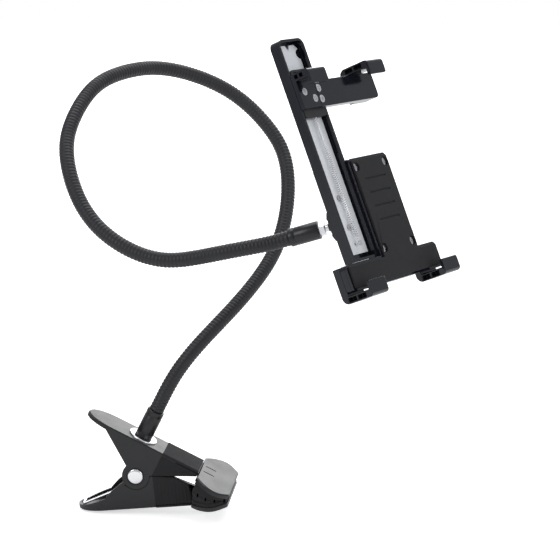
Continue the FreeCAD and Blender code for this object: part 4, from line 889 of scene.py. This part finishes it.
def torsion_spring():
    """Each leg rides on its lever; the coil between them stays where it is made."""
    upper = 180 - (CLAMP_DIP + HALF_ANGLE) - LEG_TILT
    lower = 180 + (HALF_ANGLE - CLAMP_DIP) + LEG_TILT
    start, end = upper - 90, lower + 90
    turn = TORSION_TURNS * 360 + (start - end) % 360
    length = TORSION_PITCH * turn / 360
    steps = round(turn / 12)
    control_r = TORSION_R / cos(radians(turn / steps / 2)) ** 0.5
    coil = [around_pivot(control_r, start - turn * i / steps, length / 2 - length * i / steps) * MM
            for i in range(steps + 1)]
    obj = mesh_object("torsion_spring_coil", wire_mesh(coil, TORSION_WIRE_R), "spring_steel", sharp=radians(60))
    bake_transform(obj)
    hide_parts("torsion_spring")
    torsion_leg("upper", start, length / 2, upper, -1, "clamp_upper")
    torsion_leg("lower", end, -length / 2, lower, 1, "clamp_lower")


def return_spring():
    """The coil in the track, hooked to the carriage at one end and to its post at the other."""
    top = (TRACK_X, RETURN_FROM, RETURN_DEPTH)
    bottom = (TRACK_X, RETURN_TO, RETURN_DEPTH)
    steps = RETURN_TURNS * 10
    coiled = RETURN_TO - RETURN_FROM - 2 * RETURN_LEAD
    line = [top]
    for i in range(steps + 1):
        a = 2 * pi * i / 10
        line.append((TRACK_X + RETURN_R * cos(a), RETURN_FROM + RETURN_LEAD + coiled * i / steps,
                     RETURN_DEPTH + RETURN_R * sin(a)))
    line.append(bottom)
    wire = wire_mesh([spot(HOLDER, *p) for p in line], RETURN_WIRE_R, resolution=1, steps=2)
    obj = mesh_object("return_spring_coil", wire, "spring_steel")
    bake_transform(obj)
    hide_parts("return_spring")


torsion_spring()
return_spring()


# Stage, lights and camera

def floor_material():
    """Pale paper that the camera sees nearly white, with the object's shadow kept on it."""
    mat, tree, shader, vector = material("studio_paper")
    noise = tree.nodes.new("ShaderNodeTexNoise")
    noise.inputs["Scale"].default_value = 3.0
    tree.links.new(vector, noise.inputs["Vector"])
    shades = mix_colours(tree, noise.outputs["Fac"], (0.93, 0.93, 0.93), (0.95, 0.95, 0.95))
    tree.links.new(shades, shader.inputs["Base Color"])
    shader.inputs["Roughness"].default_value = 0.9
    shader.inputs["Specular IOR Level"].default_value = 0.1
    path = tree.nodes.new("ShaderNodeLightPath")
    shader.inputs["Emission Color"].default_value = (1, 1, 1, 1)
    tree.links.new(spread(tree, path.outputs["Is Camera Ray"], 0.0, 0.62), shader.inputs["Emission Strength"])
    return mat


def build_stage():
    low = cad_box[0][2] - 0.0005
    bm = bmesh.new()
    bmesh.ops.create_grid(bm, x_segments=1, y_segments=1, size=3.0)
    bmesh.ops.translate(bm, vec=(0, 0, low), verts=bm.verts)
    mesh = bpy.data.meshes.new("paper")
    bm.to_mesh(mesh)
    bm.free()
    floor = bpy.data.objects.new("studio_paper", mesh)
    bpy.context.scene.collection.objects.link(floor)
    mesh.materials.append(floor_material())


def soft_box(name, place, target, size, power):
    """A broad lamp that the camera doesn't see."""
    lamp = bpy.data.lights.new(name, "AREA")
    lamp.shape = "RECTANGLE"
    lamp.size, lamp.size_y = size
    lamp.energy = power
    obj = bpy.data.objects.new(name, lamp)
    obj.location = place
    obj.rotation_euler = (Vector(target) - Vector(place)).to_track_quat("-Z", "Y").to_euler()
    obj.visible_camera = False
    bpy.context.scene.collection.objects.link(obj)


def build_world():
    """Even pale surroundings, which the camera sees as white."""
    world = bpy.data.worlds.new("studio")
    world.use_nodes = True
    tree = world.node_tree
    even = tree.nodes["Background"]
    even.inputs["Color"].default_value = (0.93, 0.95, 1.0, 1)
    even.inputs["Strength"].default_value = 0.48
    white = tree.nodes.new("ShaderNodeBackground")
    white.inputs["Color"].default_value = (1, 1, 1, 1)
    white.inputs["Strength"].default_value = 1.0
    path = tree.nodes.new("ShaderNodeLightPath")
    mix = tree.nodes.new("ShaderNodeMixShader")
    tree.links.new(path.outputs["Is Camera Ray"], mix.inputs["Fac"])
    tree.links.new(even.outputs["Background"], mix.inputs[1])
    tree.links.new(white.outputs["Background"], mix.inputs[2])
    tree.links.new(mix.outputs["Shader"], tree.nodes["World Output"].inputs["Surface"])
    bpy.context.scene.world = world


CAMERA_AT = (0.190191, -1.388688, 0.466525)      # metres
CAMERA_AZIMUTH = 6.0      # degrees
CAMERA_ELEVATION = 13.0
CAMERA_LENS = 139.6


def build_camera():
    azimuth, elevation = radians(CAMERA_AZIMUTH), radians(CAMERA_ELEVATION)
    right = Vector((cos(azimuth), sin(azimuth), 0))
    back = Vector((sin(azimuth) * cos(elevation), -cos(azimuth) * cos(elevation), sin(elevation)))
    up = back.cross(right)
    camera = bpy.data.cameras.new("camera")
    camera.sensor_width = 36.0
    camera.lens = CAMERA_LENS
    camera.clip_start, camera.clip_end = 0.05, 20.0
    obj = bpy.data.objects.new("camera", camera)
    obj.matrix_world = Matrix.Translation(CAMERA_AT) @ Matrix((right, up, back)).transposed().to_4x4()
    bpy.context.scene.collection.objects.link(obj)
    bpy.context.scene.camera = obj


build_stage()
build_world()
build_camera()
soft_box("overhead_box", (0.1, 0.5, 1.5), (0.0, 0.0, 0.1), (1.6, 1.0), 10.0)
soft_box("key_box", (-1.1, -1.2, 1.1), (0.0, 0.0, 0.15), (0.9, 0.9), 8.0)
soft_box("fill_box", (1.4, -0.9, 0.7), (0.05, 0.0, 0.15), (0.9, 0.9), 5.0)
soft_box("back_box", (0.3, 2.5, 0.82), (0.0, 0.0, 0.1), (3.0, 1.5), 30.0)
bpy.context.scene.view_settings.view_transform = "Standard"
